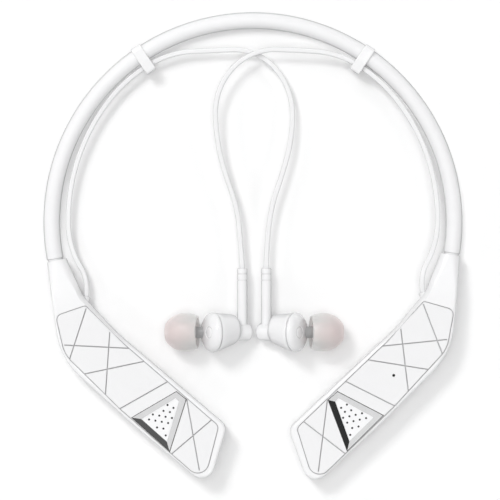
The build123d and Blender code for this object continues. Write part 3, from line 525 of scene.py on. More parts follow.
def translucent(name, light, dark, facing_clear, edge_clear):
    """Milky silicone: clearer where it faces the eye, denser at its outline, pinker towards its nose."""
    made = material(name, light, dark, 0.32, grain=0.01, grain_scale=5000, spots=500)
    tree = made.node_tree
    inputs = tree.nodes["Principled BSDF"].inputs
    density = map_range(tree, facing(tree, 0.45), to_min=1 - facing_clear, to_max=1 - edge_clear)
    tree.links.new(density, inputs["Alpha"])
    # the nose is the end farther from the plane between the buds
    place_node = tree.nodes.new("ShaderNodeTexCoord")
    parts = tree.nodes.new("ShaderNodeSeparateXYZ")
    tree.links.new(place_node.outputs["Object"], parts.inputs[0])
    offset = tree.nodes.new("ShaderNodeMath")
    offset.operation = "SUBTRACT"
    offset.inputs[1].default_value = BUD_CENTRE * MM
    tree.links.new(parts.outputs["X"], offset.inputs[0])
    distance = tree.nodes.new("ShaderNodeMath")
    distance.operation = "ABSOLUTE"
    tree.links.new(offset.outputs[0], distance.inputs[0])
    back = (BUD_CENTRE - tip_high.x + 3.0) * MM
    nose = (BUD_CENTRE - tip_low.x) * MM
    towards_nose = map_range(tree, distance.outputs[0], back, nose, to_max=0.55)
    plain = inputs["Base Color"].links[0].from_socket
    tree.links.new(mixed(tree, towards_nose, plain, BLUSH), inputs["Base Color"])
    return made


def grey(level):
    """A neutral white or grey, a touch cool."""
    return (level, level, level * 1.008)


# lightest and darkest grey of each finish, its roughness, and what else sets it apart; rim is the strength
# of the painted shade at the outline
GREY_FINISHES = {
    "white_shell": (0.88, 0.855, 0.32, {"grain": 0.0025, "coat": 0.2, "wear": 0.3, "rim": 0.6}),
    "white_panel": (0.84, 0.82, 0.38, {"grain": 0.004, "coat": 0.1}),
    "white_silicone": (0.865, 0.84, 0.5, {"grain": 0.005, "grain_scale": 6000, "rim": 0.9}),
    "white_cable": (0.85, 0.82, 0.45, {"grain": 0.005, "grain_scale": 7000, "rim": 1.0}),
    "white_cap": (0.89, 0.87, 0.12, {"grain": 0.0012, "coat": 0.6, "rim": 0.4}),
    "bud_body": (0.88, 0.855, 0.36, {"grain": 0.0035, "coat": 0.1, "rim": 0.55}),
    # painted shade: grey for the walls and floors of gaps and grooves
    "painted_gap_shade": (0.62, 0.58, 0.6, {"grain": 0.004}),
    # painted shade: dark grey for the collar, which lies in shadow between cap and tip
    "collar_painted_shade": (0.36, 0.30, 0.40, {"grain": 0.010, "coat": 0.1, "rim": 0.3}),
    "chrome_trim": (0.82, 0.74, 0.10, {"grain": 0.002, "metallic": 1.0, "wear": 0.3}),
    "grille_plate": (0.88, 0.84, 0.40, {"grain": 0.006, "grain_scale": 5000}),
    "spring_steel": (0.62, 0.50, 0.28, {"metallic": 1.0}),
    "lead_jacket": (0.26, 0.2, 0.5, {}),
    "cell_pouch": (0.72, 0.6, 0.35, {"grain": 0.05, "grain_scale": 1500, "metallic": 0.8}),
    "chip_black": (0.07, 0.04, 0.55, {"grain": 0.03}),
    "plated_steel": (0.72, 0.6, 0.25, {"grain": 0.008, "metallic": 1.0, "wear": 0.2}),
    "speaker_black": (0.03, 0.015, 0.6, {}),
}
MATERIALS = {
    name: material(name, grey(light), grey(dark), roughness, **extra)
    for name, (light, dark, roughness, extra) in GREY_FINISHES.items()
}
MATERIALS["circuit_board"] = material(
    "circuit_board", (0.06, 0.30, 0.14), (0.03, 0.2, 0.09), 0.35, 0.03, 2500, spots=900
)
MATERIALS["tip_silicone"] = translucent("tip_silicone", (0.84, 0.84, 0.83), (0.81, 0.81, 0.80), 0.66, 0.1)
tip_core_material = material(
    "tip_core", (0.93, 0.79, 0.78), (0.92, 0.76, 0.75), 0.45, 0.01, 5000, subsurface=0.2
)


def finished(thing, body, slot, *nodes):
    """Puts a piece on its body, in place of CAD nodes if any are named."""
    if nodes:
        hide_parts(*nodes)
    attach(thing, body)
    return thing


# ---------------------------------------------------------------- neckband tube
MOULD_LINE = 0.035          # how far the mould line stands proud
NECK_DEPTH = 0.35           # how far the tube narrows at a wing's mouth


def band_path(angles):
    """Points of the tube's centre line at angles in degrees."""
    plan = [BAND_RADIUS * heading_vector(angle) for angle in angles]
    return [Vector((point.x, point.y, SPLIT)) for point in plan]


def make_band():
    """Soft tube with a hair-fine mould line on each side and a shallow neck at each wing."""
    start = BAND_END_RIGHT - TUBE_INSERT
    end = BAND_END_LEFT + TUBE_INSERT
    steps = 420
    angles = [start + (end - start) * step / steps for step in range(steps + 1)]
    for beyond in (-0.45, -0.35, -0.25, -0.15, -0.05):
        angles += [BAND_END_LEFT + beyond, BAND_END_RIGHT - beyond]
    angles.sort()
    path = band_path(angles)
    section = []
    for side in (0, math.pi):
        for offset in (-90, -75, -60, -45, -30, -18, -9, -4, -1.6, 0, 1.6, 4, 9, 18, 30, 45, 60, 75):
            angle = side + math.radians(offset)
            radius = TUBE_RADIUS + (MOULD_LINE if offset == 0 else 0)
            section.append((radius * math.cos(angle), radius * math.sin(angle)))
    points, faces = sweep(path, section, Vector((0, 0, 1)))
    for row, angle in enumerate(angles):
        beyond = max(angle - BAND_END_LEFT, BAND_END_RIGHT - angle)
        neck = 1 - NECK_DEPTH / TUBE_RADIUS * smooth(beyond, -0.38, -0.05)
        for index in range(row * len(section), (row + 1) * len(section)):
            points[index] = path[row].lerp(points[index], neck)
    band = make_object("neckband_tube", points, faces, MATERIALS["white_silicone"])
    finished(band, "neckband", "white_silicone", "neckband_sleeve")


# ---------------------------------------------------------------- wings
MOUTH_HALF_HEIGHT = 3.4
PARTING_CHAMFER = 0.12


def wing_half_height(y):
    """Half the thickness of a wing: thin at its mouth, full from the panel on."""
    return MOUTH_HALF_HEIGHT + (WING_TOP - SPLIT - MOUTH_HALF_HEIGHT) * smooth(-y, 11.5, 28.0)


def rim_shape(point, on_inner_edge):
    """Width, depth and straightness of a wing's rounded rim at an outline point."""
    width = 3.3 - 2.3 * smooth(-point.y, 12.0, 27.0)
    depth = width
    straight = 1.0
    if on_inner_edge:
        bevel = smooth(-point.y, 13.0, 24.0) * (1 - smooth(-point.y, 36.0, 44.0))
        width += bevel * (1.55 - width) * smooth(-point.y, 18.0, 25.0)
        depth += bevel * (2.6 - depth) * smooth(-point.y, 18.0, 25.0)
        straight += 0.75 * bevel
    return width, depth, straight


def wing_half(name, upward, move):
    """One closed half of a wing: rounded rim, crowned neck, flat face and parting chamfer."""
    outline = rounded(WING_CORNERS, closed=False)
    corner_inner = Vector(WING_CORNERS[3][:2])
    turn_index = min(range(len(outline)), key=lambda i: (outline[i] - corner_inner).length)
    lengths = [0.0]
    for start, end in zip(outline, outline[1:]):
        lengths.append(lengths[-1] + (end - start).length)
    across = (outline[-1] - outline[0]).normalized()
    rim = []
    arc_steps = 9
    for index, here in enumerate(outline):
        ahead = run_at(outline, index)
        inward = Vector((ahead.y, -ahead.x)).normalized()
        from_end = min(lengths[index], lengths[-1] - lengths[index])
        end_normal = across if index < turn_index else -across
        inward = end_normal.lerp(inward, smooth(from_end, 0, 4)).normalized()
        width, depth, straight = rim_shape(here, index < turn_index)
        height = wing_half_height((here + inward * width).y)
        depth = min(depth, height - 0.1)
        chamfer = min(PARTING_CHAMFER, (height - depth) / 2)
        column = [(chamfer, 0.0), (0.0, chamfer)]
        for step in range(arc_steps + 1):
            angle = math.pi / 2 * step / arc_steps
            inset = width * (1 - math.cos(angle) ** straight)
            column.append((inset, height - depth + depth * math.sin(angle) ** straight))
        rim.append([(here + inward * inset, level) for inset, level in column])
    rows = len(rim[0])
    sign = 1 if upward else -1
    points = []
    faces = []
    for column in rim:
        points += [Vector((p.x, p.y, SPLIT + sign * level)) for p, level in column]
    for index in range(len(rim) - 1):
        base = index * rows
        for row in range(rows - 1):
            faces.append([base + row, base + row + 1, base + rows + row + 1, base + rows + row])
    last = (len(rim) - 1) * rows
    faces.append(list(range(rows)) + [last + row for row in reversed(range(rows))])
    crown = [column[-1][0] for column in rim]
    neck_points = []
    for row in range(20):
        y = -14.0 - row * 0.8
        crossings = []
        for start, end in zip(crown, crown[1:] + crown[:1]):
            if (start.y - y) * (end.y - y) < 0:
                crossings.append(start.x + (end.x - start.x) * (y - start.y) / (end.y - start.y))
        for left, right in zip(sorted(crossings)[::2], sorted(crossings)[1::2]):
            count = int((right - left) / 0.8)
            neck_points += [(left + (right - left) * k / (count + 1), y) for k in range(1, count + 1)]
    add_flat(points, faces, [crown], lambda p: SPLIT + sign * wing_half_height(p[1]), neck_points)
    add_flat(points, faces, [[column[0][0] for column in rim]], lambda p: SPLIT)
    return make_object(name, points, faces, MATERIALS["white_shell"], move)


def inner_edge_frame(from_corner):
    """Frame on the wing's long inner wall; x runs to the tip, z points outward."""
    start = Vector(WING_CORNERS[3][:2])
    step = (Vector(WING_CORNERS[2][:2]) - start).normalized()
    origin = start + step * from_corner
    return frame_move((origin.x, origin.y, SPLIT), (-step.x, -step.y, 0), (step.y, -step.x, 0))


def rounded_box(length, height, radius):
    """Outline of a rectangle with round corners about the origin."""
    x = length / 2
    y = height / 2
    return rounded([(-x, -y, radius), (x, -y, radius), (x, y, radius), (-x, y, radius)], spacing=1.5)


WING_ORIGIN = (-43.3, -52.95, 0)
WING_X = Vector((0.755, -0.656, 0)).normalized()
SCREW_PLACES = [(34.0, 1.0), (-20.5, 0.0), (-29.0, 6.0)]
BOSS_RADIUS = 2.1


def screw_centres():
    """Plan places of the case screws."""
    to_plan = frame_move(WING_ORIGIN, WING_X, (0, 0, 1))
    return [to_plan((u, v, 0)).xy for u, v in SCREW_PLACES]


def cavity_loop():
    """Outline of a wing's hollow: its wall moved inward, closed off near the mouth."""
    outline = rounded(WING_CORNERS, closed=False, spacing=2.5)
    loop = []
    for index, here in enumerate(outline):
        ahead = run_at(outline, index)
        point = here + Vector((ahead.y, -ahead.x)).normalized() * WALL
        if point.y < CAVITY_END:
            loop.append(point)
    return loop


def cutter(parts, move, painted_shade=None):
    """A cutting solid from points and faces; the walls it leaves take the painted shade material when one
    is given.
    """
    return make_object("cutter", parts[0], parts[1], painted_shade, move)


def drawn(side, local):
    """Joins a local frame and a side into one placing function."""
    to_side = place(side)
    return lambda point: to_side(local(point))


def band_cutter(side):
    """Room for the tube's end in a wing's mouth."""
    first = BAND_END_RIGHT - TUBE_INSERT
    last = BAND_END_RIGHT + 4
    if side == "left":
        first = BAND_END_LEFT - 4
        last = BAND_END_LEFT + TUBE_INSERT
    path = band_path([first + (last - first) * step / 8 for step in range(9)])
    section = [tuple(point) for point in circle(TUBE_RADIUS + 0.04, count=48)]
    return cutter(sweep(path, section, Vector((0, 0, 1))), Vector)


def cable_cutter(side):
    """Room for the cable and its bush where it leaves the inner wall."""
    outward = heading_vector(EXIT_HEADING).to_3d()
    local = frame_move((*EXIT_POINT, CABLE_LEVEL[side]), (0, 0, 1), outward)
    return cutter(prism_parts(circle(1.5), [], -2.6, 8.0), drawn(side, local))


def wall_cutter(side, local, outline, depth):
    """Takes an outline out of a wing's inner wall, to a depth below its face."""
    return cutter(prism_parts(outline, [], -depth, 2.0), drawn(side, local))


def key_cutters(side):
    """Openings of the side keys, or of the switch and the charging port's lid."""
    if side == "left":
        slider = frame_move((*SLIDER_PLACE, SPLIT), SLIDER_ALONG, SLIDER_OUT)
        lid = rounded_box(LID_SIZE[0] + 2 * LID_GAP, LID_SIZE[1] + 2 * LID_GAP, 0.8)
        return [
            wall_cutter(side, slider, rounded_box(*SLIDER_SLOT, SLOT_CORNER), 3.0),
            wall_cutter(side, inner_edge_frame(LID_PLACE), lid, 1.1),
        ]
    cutters = []
    for from_corner, length in (PLAY_KEY, VOLUME_KEY):
        key = rounded_box(length + 2 * KEY_GAP, KEY_HEIGHT + 2 * KEY_GAP, 0.9)
        cutters.append(wall_cutter(side, inner_edge_frame(from_corner), key, 3.0))
    return cutters


def microphone_hole(side, low):
    """The microphone's inlet, which only the right wing has."""
    if side == "left":
        return []
    hole = circle(MICROPHONE_RADIUS, MICROPHONE_PLACE)
    return [cutter(prism_parts(hole, [], low, WING_TOP + 2), place(side))]


def make_shells(side):
    """Both halves of a wing, hollowed and with their openings."""
    to_side = place(side)
    centres = screw_centres()
    hollow = cavity_loop()
    bosses = [circle(BOSS_RADIUS, centre, 28) for centre in centres]
    bosses = [boss for boss in bosses if all(inside(point, hollow) for point in boss)]
    outer = rounded(PANEL_CORNERS)
    opening = shifted_in(BEZEL_OUTER, -TRIM_GAP)
    top = wing_half(f"{side}_top_case", True, to_side)
    cutters = key_cutters(side) + [band_cutter(side), cable_cutter(side)]
    cutters.append(cutter(prism_parts(hollow, bosses, SPLIT - 1, CEILING), to_side))
    pocket = prism_parts(outer, [], PANEL_SEAT, WING_TOP + 2)
    # the pocket's walls and floor get painted shade, so the gap round the panel reads dark
    cutters.append(cutter(pocket, to_side, MATERIALS["painted_gap_shade"]))
    cutters.append(cutter(prism_parts(opening, [], CEILING - 0.5, WING_TOP + 2), to_side))
    cut(top, cutters + microphone_hole(side, SPLIT))
    finished(even_normals(top), "neckband", "white_shell", f"{side}_top_shell")

    bottom = wing_half(f"{side}_bottom_case", False, to_side)
    cutters = key_cutters(side) + [band_cutter(side), cable_cutter(side)]
    cutters.append(cutter(prism_parts(hollow, bosses, FLOOR, SPLIT + 1), to_side))
    for centre in centres:
        screw_hole = [(-0.5, 2.05), (0.72, 0.83), (9, 0.83)]
        cone = revolve(screw_hole, (*centre, 0), (0, 0, 1), (1, 0, 0), 32)
        cutters.append(cutter(cone, to_side))
    cut(bottom, cutters)
    finished(even_normals(bottom), "neckband", "white_shell", f"{side}_bottom_shell")


def make_panel(side):
    """Inlaid cover with rounded edges and the straight V-shaped grooves."""
    outline = shifted_in(rounded(PANEL_CORNERS), PANEL_GAP)
    parts = prism_parts(outline, [], PANEL_SEAT, WING_TOP, edge=0.12)
    panel = make_object(f"{side}_panel", *parts, MATERIALS["white_panel"], place(side))
    opening = prism_parts(shifted_in(BEZEL_OUTER, -TRIM_GAP), [], PANEL_SEAT - 1, WING_TOP + 1)
    cutters = [cutter(opening, place(side))]
    v_shape = [Vector(p) for p in ((-0.13, -0.7), (0.13, -0.7), (0.2, 0.05), (-0.2, 0.05))]
    for start, end in GROOVES:
        run = Vector(end) - Vector(start)
        middle = (Vector(start) + Vector(end)) / 2
        half = run.length / 2
        local = frame_move((*middle, WING_TOP), (-run.y, run.x, 0), (run.x, run.y, 0))
        groove = prism_parts(v_shape, [], -half, half)
        # the grooves' walls get painted shade
        cutters.append(cutter(groove, drawn(side, local), MATERIALS["painted_gap_shade"]))
    cut(panel, cutters + microphone_hole(side, PANEL_SEAT - 1))
    finished(even_normals(panel), "neckband", "white_panel", f"{side}_cover_panel")


def make_bezel(side):
    """Plated frame with mitred corners, fine bevels and faces sloping to the grille."""
    lip = bezel_high.z - 1.1
    rings = [
        (BEZEL_OUTER, 0.0, bezel_low.z),
        (BEZEL_OUTER, 0.0, bezel_high.z - 0.07),
        (BEZEL_OUTER, 0.07, bezel_high.z),
        (BEZEL_OUTER, 0.27, bezel_high.z),
        (BEZEL_INNER, -0.26, lip + 0.01),
        (BEZEL_INNER, 0.0, lip),
        (BEZEL_INNER, 0.0, bezel_low.z),
    ]
    points = []
    for outline, inset, height in rings:
        points += [Vector((p.x, p.y, height)) for p in shifted_in(outline, inset)]
    faces = ring_faces(len(rings), len(BEZEL_OUTER), closed=True)
    bezel = make_object(f"{side}_trim", points, faces, MATERIALS["chrome_trim"], place(side), sharp=5)
    finished(bezel, "neckband", "chrome_trim", f"{side}_bezel")


def make_felt(side):
    """Dark dust cloth right under the grille."""
    outline = shifted_in(BEZEL_INNER, -0.1)
    parts = prism_parts(outline, [], GRILLE_BACK - 0.2, GRILLE_BACK - 0.04)
    felt = make_object(f"{side}_dust_cloth", *parts, MATERIALS["speaker_black"], place(side))
    finished(felt, "neckband", "speaker_black")


def make_key(name, node, side, local, size, low, high, edge, groove=False):
    """A rounded push key or lid with a softened face."""
    parts = prism_parts(rounded_box(*size, 0.8), [], low, high, edge)
    key = make_object(name, *parts, MATERIALS["white_shell"], drawn(side, local))
    if groove:
        slot = prism_parts([Vector(p) for p in ((-0.2, -3), (0.2, -3), (0.2, 3), (-0.2, 3))], [], 0, 2)
        cut(key, [cutter(slot, drawn(side, local))])
    finished(even_normals(key), node, "white_shell", node)


make_band()
for wing_side in ("left", "right"):
    make_shells(wing_side)
    make_panel(wing_side)
    make_bezel(wing_side)
    make_felt(wing_side)
for name, node, (from_corner, length), groove in (
    ("play_key", "play_button", PLAY_KEY, False),
    ("volume_key", "volume_rocker", VOLUME_KEY, True),
):
    key_size = (length, KEY_HEIGHT)
    make_key(name, node, "right", inner_edge_frame(from_corner), key_size, -1.5, 0.35, 0.28, groove)
make_key("port_cover", "port_lid", "left", inner_edge_frame(LID_PLACE), LID_SIZE, -1.0, 0.12, 0.1)


# ---------------------------------------------------------------- clips
CLIP_ANGLE = {"left": 124, "right": 56}
CLIP_WIDTH = 3.7
CABLE_AT_CLIP = 63.9        # distance of the cable's run from the band's centre


def make_clip(side):
    """Moulded strap round the tube and the cable, with softened edges."""
    outward = heading_vector(CLIP_ANGLE[side]).to_3d()
    along = heading_vector(CLIP_ANGLE[side] + 90).to_3d()
    half_profile = [(61.4, 2.85, 0.9), (BAND_RADIUS - 2.8, 3.45, 1.6), (71.45, 3.45, 1.6)]
    lower_half = [(x, -y, radius) for x, y, radius in half_profile]
    profile = rounded(lower_half + half_profile[::-1], spacing=1.2)
    level = CABLE_LEVEL[side] - SPLIT
    tube = circle(TUBE_RADIUS + 0.06, (BAND_RADIUS, 0), 64)
    slot = [Vector((CABLE_AT_CLIP + x, level + y)) for x, y in rounded_box(2.3, 1.9, 0.9)]
    slot = [p for p in slot if (p - Vector((BAND_RADIUS, 0))).length > TUBE_RADIUS + 0.12]

    def tall(point):
        """Puts profile points upright beside the band."""
        return Vector((0, 0, SPLIT + point[1])) + outward * point[0] + along * point[2]

    upper, faces = prism_parts(profile, [tube, slot], 0, CLIP_WIDTH / 2, edge=0.3)
    lower = [Vector((p.x, p.y, -p.z)) for p in upper]
    kept = [face for face in faces if any(upper[i].z > 1e-6 for i in face)]
    mirrored = [[len(upper) + i for i in face] for face in kept]
    clip = make_object(
        f"{side}_cable_clip", upper + lower, kept + mirrored, MATERIALS["white_shell"], tall
    )
    finished(even_normals(clip), f"{side}_clip", "white_shell", f"{side}_clip")


for clip_side in ("left", "right"):
    make_clip(clip_side)

# ---------------------------------------------------------------- cables
LOOP_CENTRE = 0.35          # the two cables mirror about this x
LOOP_REACH = 12.0           # the loops' tops lie within this of x = 0
PAST_TOP = 6                # points from a loop's top to where its cable is divided
SLOPE_START = 50.0          # y from which a cable changes level on its way to the stem
CABLE_HALF_HEIGHT = 0.66
VALLEY_DEPTH = 0.16         # share of the half height
VALLEY_WIDTH = 0.15
BAND_RUN = [(140, CABLE_AT_CLIP), (123, CABLE_AT_CLIP)]
BAND_START = 9.4            # degrees from a wing's mouth to where the cable runs along the band
BAND_START_RADIUS = 62.6
LOOP_RUN = [(-20.5, 57.8), (-7.5, 58.4), (7.6, 52.0), (13.4, 36.9)]
DROP_RUN = [(13.4, 36.0), (11.4, 21.3), (8.2, 11.0), (5.4, -1.5), (4.5, STEM_TOP)]


def cable_section():
    """Flat twin lead: two rounded ridges with a fine valley between them."""
    section = []
    count = 36
    for index in range(count):
        angle = 2 * math.pi * index / count
        x = CABLE_RADIUS * math.copysign(abs(math.cos(angle)) ** 0.8, math.cos(angle))
        z = CABLE_HALF_HEIGHT * math.copysign(abs(math.sin(angle)) ** 0.75, math.sin(angle))
        section.append((x, z * (1 - VALLEY_DEPTH * math.exp(-((x / VALLEY_WIDTH) ** 2)))))
    return section


def arc_chain(points, heading, spacing=0.6):
    """Plan points on arcs that run on smoothly through the given points."""
    path = [Vector(points[0])]
    direction = heading_vector(heading)
    for end in points[1:]:
        start = path[-1].copy()
        chord = Vector(end) - start
        bend = math.atan2(direction.cross(chord), direction.dot(chord))
        steps = max(4, math.ceil(chord.length / spacing))
        for step in range(1, steps + 1):
            share = step / steps
            scale = share if abs(bend) < 1e-4 else math.sin(bend * share) / math.sin(bend)
            path.append(start + Matrix.Rotation(bend * share, 2) @ direction * chord.length * scale)
        direction = Matrix.Rotation(2 * bend, 2) @ direction
    return path


def mirrored_x(point, centre):
    """A plan point mirrored about x = centre."""
    return (2 * centre - point[0], point[1])


def cable_path(side):
    """The whole run of one cable, from inside its wing to inside the other side's earbud."""
    band_end = BAND_END_LEFT if side == "left" else 180 - BAND_END_RIGHT
    polar = [(band_end - BAND_START, BAND_START_RADIUS)] + BAND_RUN
    band = [radius * heading_vector(angle) for angle, radius in polar]
    wing = [EXIT_POINT, (-58.5, -15.3)]
    heading = EXIT_HEADING
    if side == "right":
        wing = [tuple(place_right((*point, 0)).xy) for point in wing]
        band = [mirrored_x(point, 0) for point in band]
        heading = 180 - heading + BAND_END_RIGHT - (180 - BAND_END_LEFT) + RIGHT_TOE_OUT
    loop = LOOP_RUN + DROP_RUN[1:-1]
    if side == "right":
        loop = [mirrored_x(point, LOOP_CENTRE) for point in loop]
    stem = (2 * BUD_CENTRE - STEM_X, STEM_TOP) if side == "left" else (STEM_X, STEM_TOP)
    path = arc_chain(wing + band + loop + [stem], heading)
    path = [path[0] - heading_vector(heading) * 4] + path
    path.append(path[-1] + Vector((0, -2.0)))
    return path


def make_cable(side, bud):
    """A cable in two lengths: one fixed along the band, one that runs down to its earbud."""
    plan = cable_path(side)
    level = CABLE_LEVEL[side]
    top = max(range(len(plan)), key=lambda i: plan[i].y if abs(plan[i].x) < LOOP_REACH else -math.inf)
    points = []
    for index, here in enumerate(plan):
        height = level
        if index > top:
            height += (STEM_Z - level) * smooth(SLOPE_START - here.y, 0, SLOPE_START - STEM_TOP)
        points.append(Vector((here.x, here.y, height)))
    section = cable_section()
    up = Vector((0, 0, 1))
    split = top + PAST_TOP
    white = MATERIALS["white_cable"]
    on_band = sweep(points[: split + 1], section, up)
    fixed = make_object(f"{side}_cable_on_band", *on_band, white, sharp=60)
    finished(fixed, "neckband", "white_cable", f"{side}_fixed_cable")
    to_bud = sweep(points[split:], section, up)
    hanging = make_object(f"{bud}_cable_to_bud", *to_bud, white, sharp=60)
    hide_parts(f"{bud}_bud_cable")
    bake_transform(hanging)


make_cable("left", "right")
make_cable("right", "left")


# ---------------------------------------------------------------- earbuds
BUD_TILT = math.radians(26)
NOZZLE_TILT = math.radians(7.8)
STEM_FROM_RIM = 11.0
RIM_RADIUS = 6.7
BODY_AXIS = Vector((-math.cos(BUD_TILT), 0, math.sin(BUD_TILT)))
BODY_UP = Vector((math.sin(BUD_TILT), 0, math.cos(BUD_TILT)))
RIM_CENTRE = Vector((STEM_X, BUD_Y, STEM_Z)) + BODY_AXIS * STEM_FROM_RIM
NOZZLE_START = RIM_CENTRE + BODY_AXIS * 1.0 - BODY_UP * 2.0
NOZZLE_AXIS = Vector((-math.cos(NOZZLE_TILT), 0, -math.sin(NOZZLE_TILT)))
BARREL_RADIUS = 2.9
CAP_HEIGHT = 3.0
CAP_BACK = -0.3
ENGRAVED_RING = (2.3, 1.85, 0.16, 0.20)     # height above the middle, radius, width, depth
BODY_SKEW = 0.9             # how far the body's back end sits towards the stem
TIP_SKIN = 0.65


def make_cap(side):
    """Glossy domed front with a fine engraved ring above its middle."""
    dome = []
    for step in range(65):
        turn = math.radians(88 * step / 64)
        dome.append((CAP_HEIGHT * math.sin(turn), RIM_RADIUS * math.cos(turn) ** 0.7))
    corner = [
        (CAP_BACK, RIM_RADIUS - 0.25),
        (CAP_BACK + 0.08, RIM_RADIUS - 0.07),
        (CAP_BACK + 0.25, RIM_RADIUS),
    ]
    profile = [(CAP_BACK, 0.02), (CAP_BACK, RIM_RADIUS - 0.3)] + arc_points(*corner, 4)
    profile += dome + [(CAP_HEIGHT + 0.01, 0.3), (CAP_HEIGHT + 0.012, 0.001)]
    points, faces = revolve(profile, RIM_CENTRE, BODY_AXIS, BODY_UP, 220)
    above, ring_radius, ring_width, ring_depth = ENGRAVED_RING
    for point in points:
        offset = point - RIM_CENTRE - BODY_UP * above
        forward = offset.dot(BODY_AXIS)
        if forward > 1.0:
            distance = (offset - BODY_AXIS * forward).length
            point -= BODY_AXIS * ring_depth * math.exp(-(((distance - ring_radius) / ring_width) ** 2))
    cap = make_object(f"{side}_bud_front", points, faces, MATERIALS["white_cap"], place_bud(side))
    finished(cap, f"{side}_bud", "white_cap", f"{side}_front_cap")


def make_nozzle(side):
    """Collar between the cap and the ear tip, darkened with painted shade, with the barb that holds the
    tip.
    """
    profile = [(1.2, 0.02), (1.2, 1.95), (6.8, 1.95), (6.9, 2.2), (7.5, 2.2), (7.7, 1.95)]
    profile += [(8.8, 1.95), (9.0, 1.75), (9.0, 1.3), (8.0, 1.3), (8.0, 0.02)]
    parts = revolve(profile, NOZZLE_START, NOZZLE_AXIS, (0, 1, 0), 64)
    nozzle = make_object(f"{side}_nozzle", *parts, MATERIALS["collar_painted_shade"], place_bud(side))
    finished(nozzle, f"{side}_bud", "bud_body")


def make_rear(side):
    """Satin cone behind the cap, with the barrel that takes the stem."""
    step_behind_cap = [(0.3, -0.9), (-0.3, -0.85), (-0.36, -0.75), (-0.42, -0.2), (-0.6, -0.14)]
    profile = [(CAP_BACK + 0.3, 0.02)]
    profile += [(CAP_BACK + along, RIM_RADIUS + out) for along, out in step_behind_cap]
    profile += [(-2.2, 6.3), (-3.4, 6.02), (-4.6, 5.74), (-5.7, 5.48)]
    profile += arc_points((-6.8, 5.2), (-8.3, 4.3), (-8.95, 3.1), 10)
    profile += [(-9.0, 2.72), (-9.15, 2.72)]
    profile += [(along, BARREL_RADIUS) for along in (-9.25, -11.0, -12.2)]
    profile += arc_points((-12.9, BARREL_RADIUS), (-13.7, 2.45), (-14.0, 1.4), 8)
    profile += [(-14.05, 0.5), (-14.06, 0.02)]
    points, faces = revolve(profile, RIM_CENTRE, BODY_AXIS, BODY_UP, 128)
    for point in points:
        behind = -(point - RIM_CENTRE).dot(BODY_AXIS)
        point.y += BODY_SKEW * smooth(behind, 0.5, 8.0) * (1 - smooth(behind, 8.6, 9.1))
    rear = make_object(f"{side}_bud_rear", points, faces, MATERIALS["bud_body"], place_bud(side))
    finished(rear, f"{side}_bud", "bud_body", f"{side}_rear_housing")


def make_stem(side):
    """Strain relief with two fine rings and a recessed top round the cable."""
    profile = [(0.45, 0.02), (0.45, 1.15), (0.0, 1.25), (0.0, STEM_RADIUS - 0.25)]
    profile += [(0.08, STEM_RADIUS - 0.08), (0.25, STEM_RADIUS)]
    for ring in (1.75, 3.9):
        for along, inset in ((-0.06, 0), (0, 0.14), (0.22, 0.14), (0.28, 0)):
            profile.append((ring + along, STEM_RADIUS - inset))
    depth = STEM_TOP - BUD_Y - 1.2
    profile += [(depth, STEM_RADIUS), (depth, 0.02)]
    parts = revolve(profile, (STEM_X, STEM_TOP, STEM_Z), (0, -1, 0), (0, 0, 1), 72)
    stem = make_object(f"{side}_strain_relief", *parts, MATERIALS["white_silicone"], place_bud(side))
    finished(stem, f"{side}_bud", "white_silicone", f"{side}_stem")


def make_tip(side):
    """Translucent domed skirt over a warmer inner core."""
    profile = [(14.15, 1.5), (14.35, 1.62), (14.5, 2.0), (14.52, 2.5)]
    profile += arc_points((14.4, 2.9), (11.9, 5.35), (7.2, TIP_RADIUS), 22)
    skirt = [(7.2, TIP_RADIUS), (5.2, 6.2), (3.5, 5.6)]
    profile += arc_points(*skirt, 8)[1:]
    profile += arc_points(*[(along, radius - TIP_SKIN) for along, radius in reversed(skirt)], 8)
    profile += arc_points((7.2, TIP_RADIUS - TIP_SKIN), (10.6, 4.95), (12.9, 3.32), 14)[1:]
    profile.append((12.9, 1.5))
    parts = revolve(profile, NOZZLE_START, NOZZLE_AXIS, (0, 1, 0), 96, closed=True)
    tip = make_object(f"{side}_tip_skirt", *parts, MATERIALS["tip_silicone"], place_bud(side), sharp=50)
    finished(tip, f"{side}_tip", "tip_silicone", f"{side}_ear_tip")
    core = [(12.88, 1.52), (12.88, 3.1), (12.7, 3.28), (5.0, 3.3), (4.3, 3.1), (4.3, 2.35)]
    core += [(8.0, 2.35), (9.3, 1.9), (9.3, 1.52)]
    parts = revolve(core, NOZZLE_START, NOZZLE_AXIS, (0, 1, 0), 72, closed=True)
    inner = make_object(f"{side}_tip_core", *parts, tip_core_material, place_bud(side), sharp=50)
    finished(inner, f"{side}_tip", "tip_silicone")


for bud_side in ("left", "right"):
    make_cap(bud_side)
    make_nozzle(bud_side)
    make_rear(bud_side)
    make_stem(bud_side)
    make_tip(bud_side)

# ---------------------------------------------------------------- finishes of the CAD nodes that stay
for subpart in frame["record"]["subparts"]:
    node = frame["nodes"][subpart["node"]]
    node.data.materials.clear()
    node.data.materials.append(MATERIALS[subpart["material_slot"]])

# ---------------------------------------------------------------- stage, light and camera
# In this section lengths are metres.
HALF_FLOOR = 4.0
ROOM_STRENGTH = 0.235       # light from all round
BACKDROP_STRENGTH = 0.82    # what the camera sees behind the floor
DARK_SIDE = 15              # direction of the room's dark side, in degrees from +X
RING_LIGHTS = 8
CAMERA_HEIGHT = 2.0
CAMERA_FIELD = 170 * MM
CAMERA_SHIFT = Vector((-1.0, -1.5, 0)) * MM     # from the middle of the earphones
scene = bpy.context.scene
centre = (cad_low + cad_high) / 2

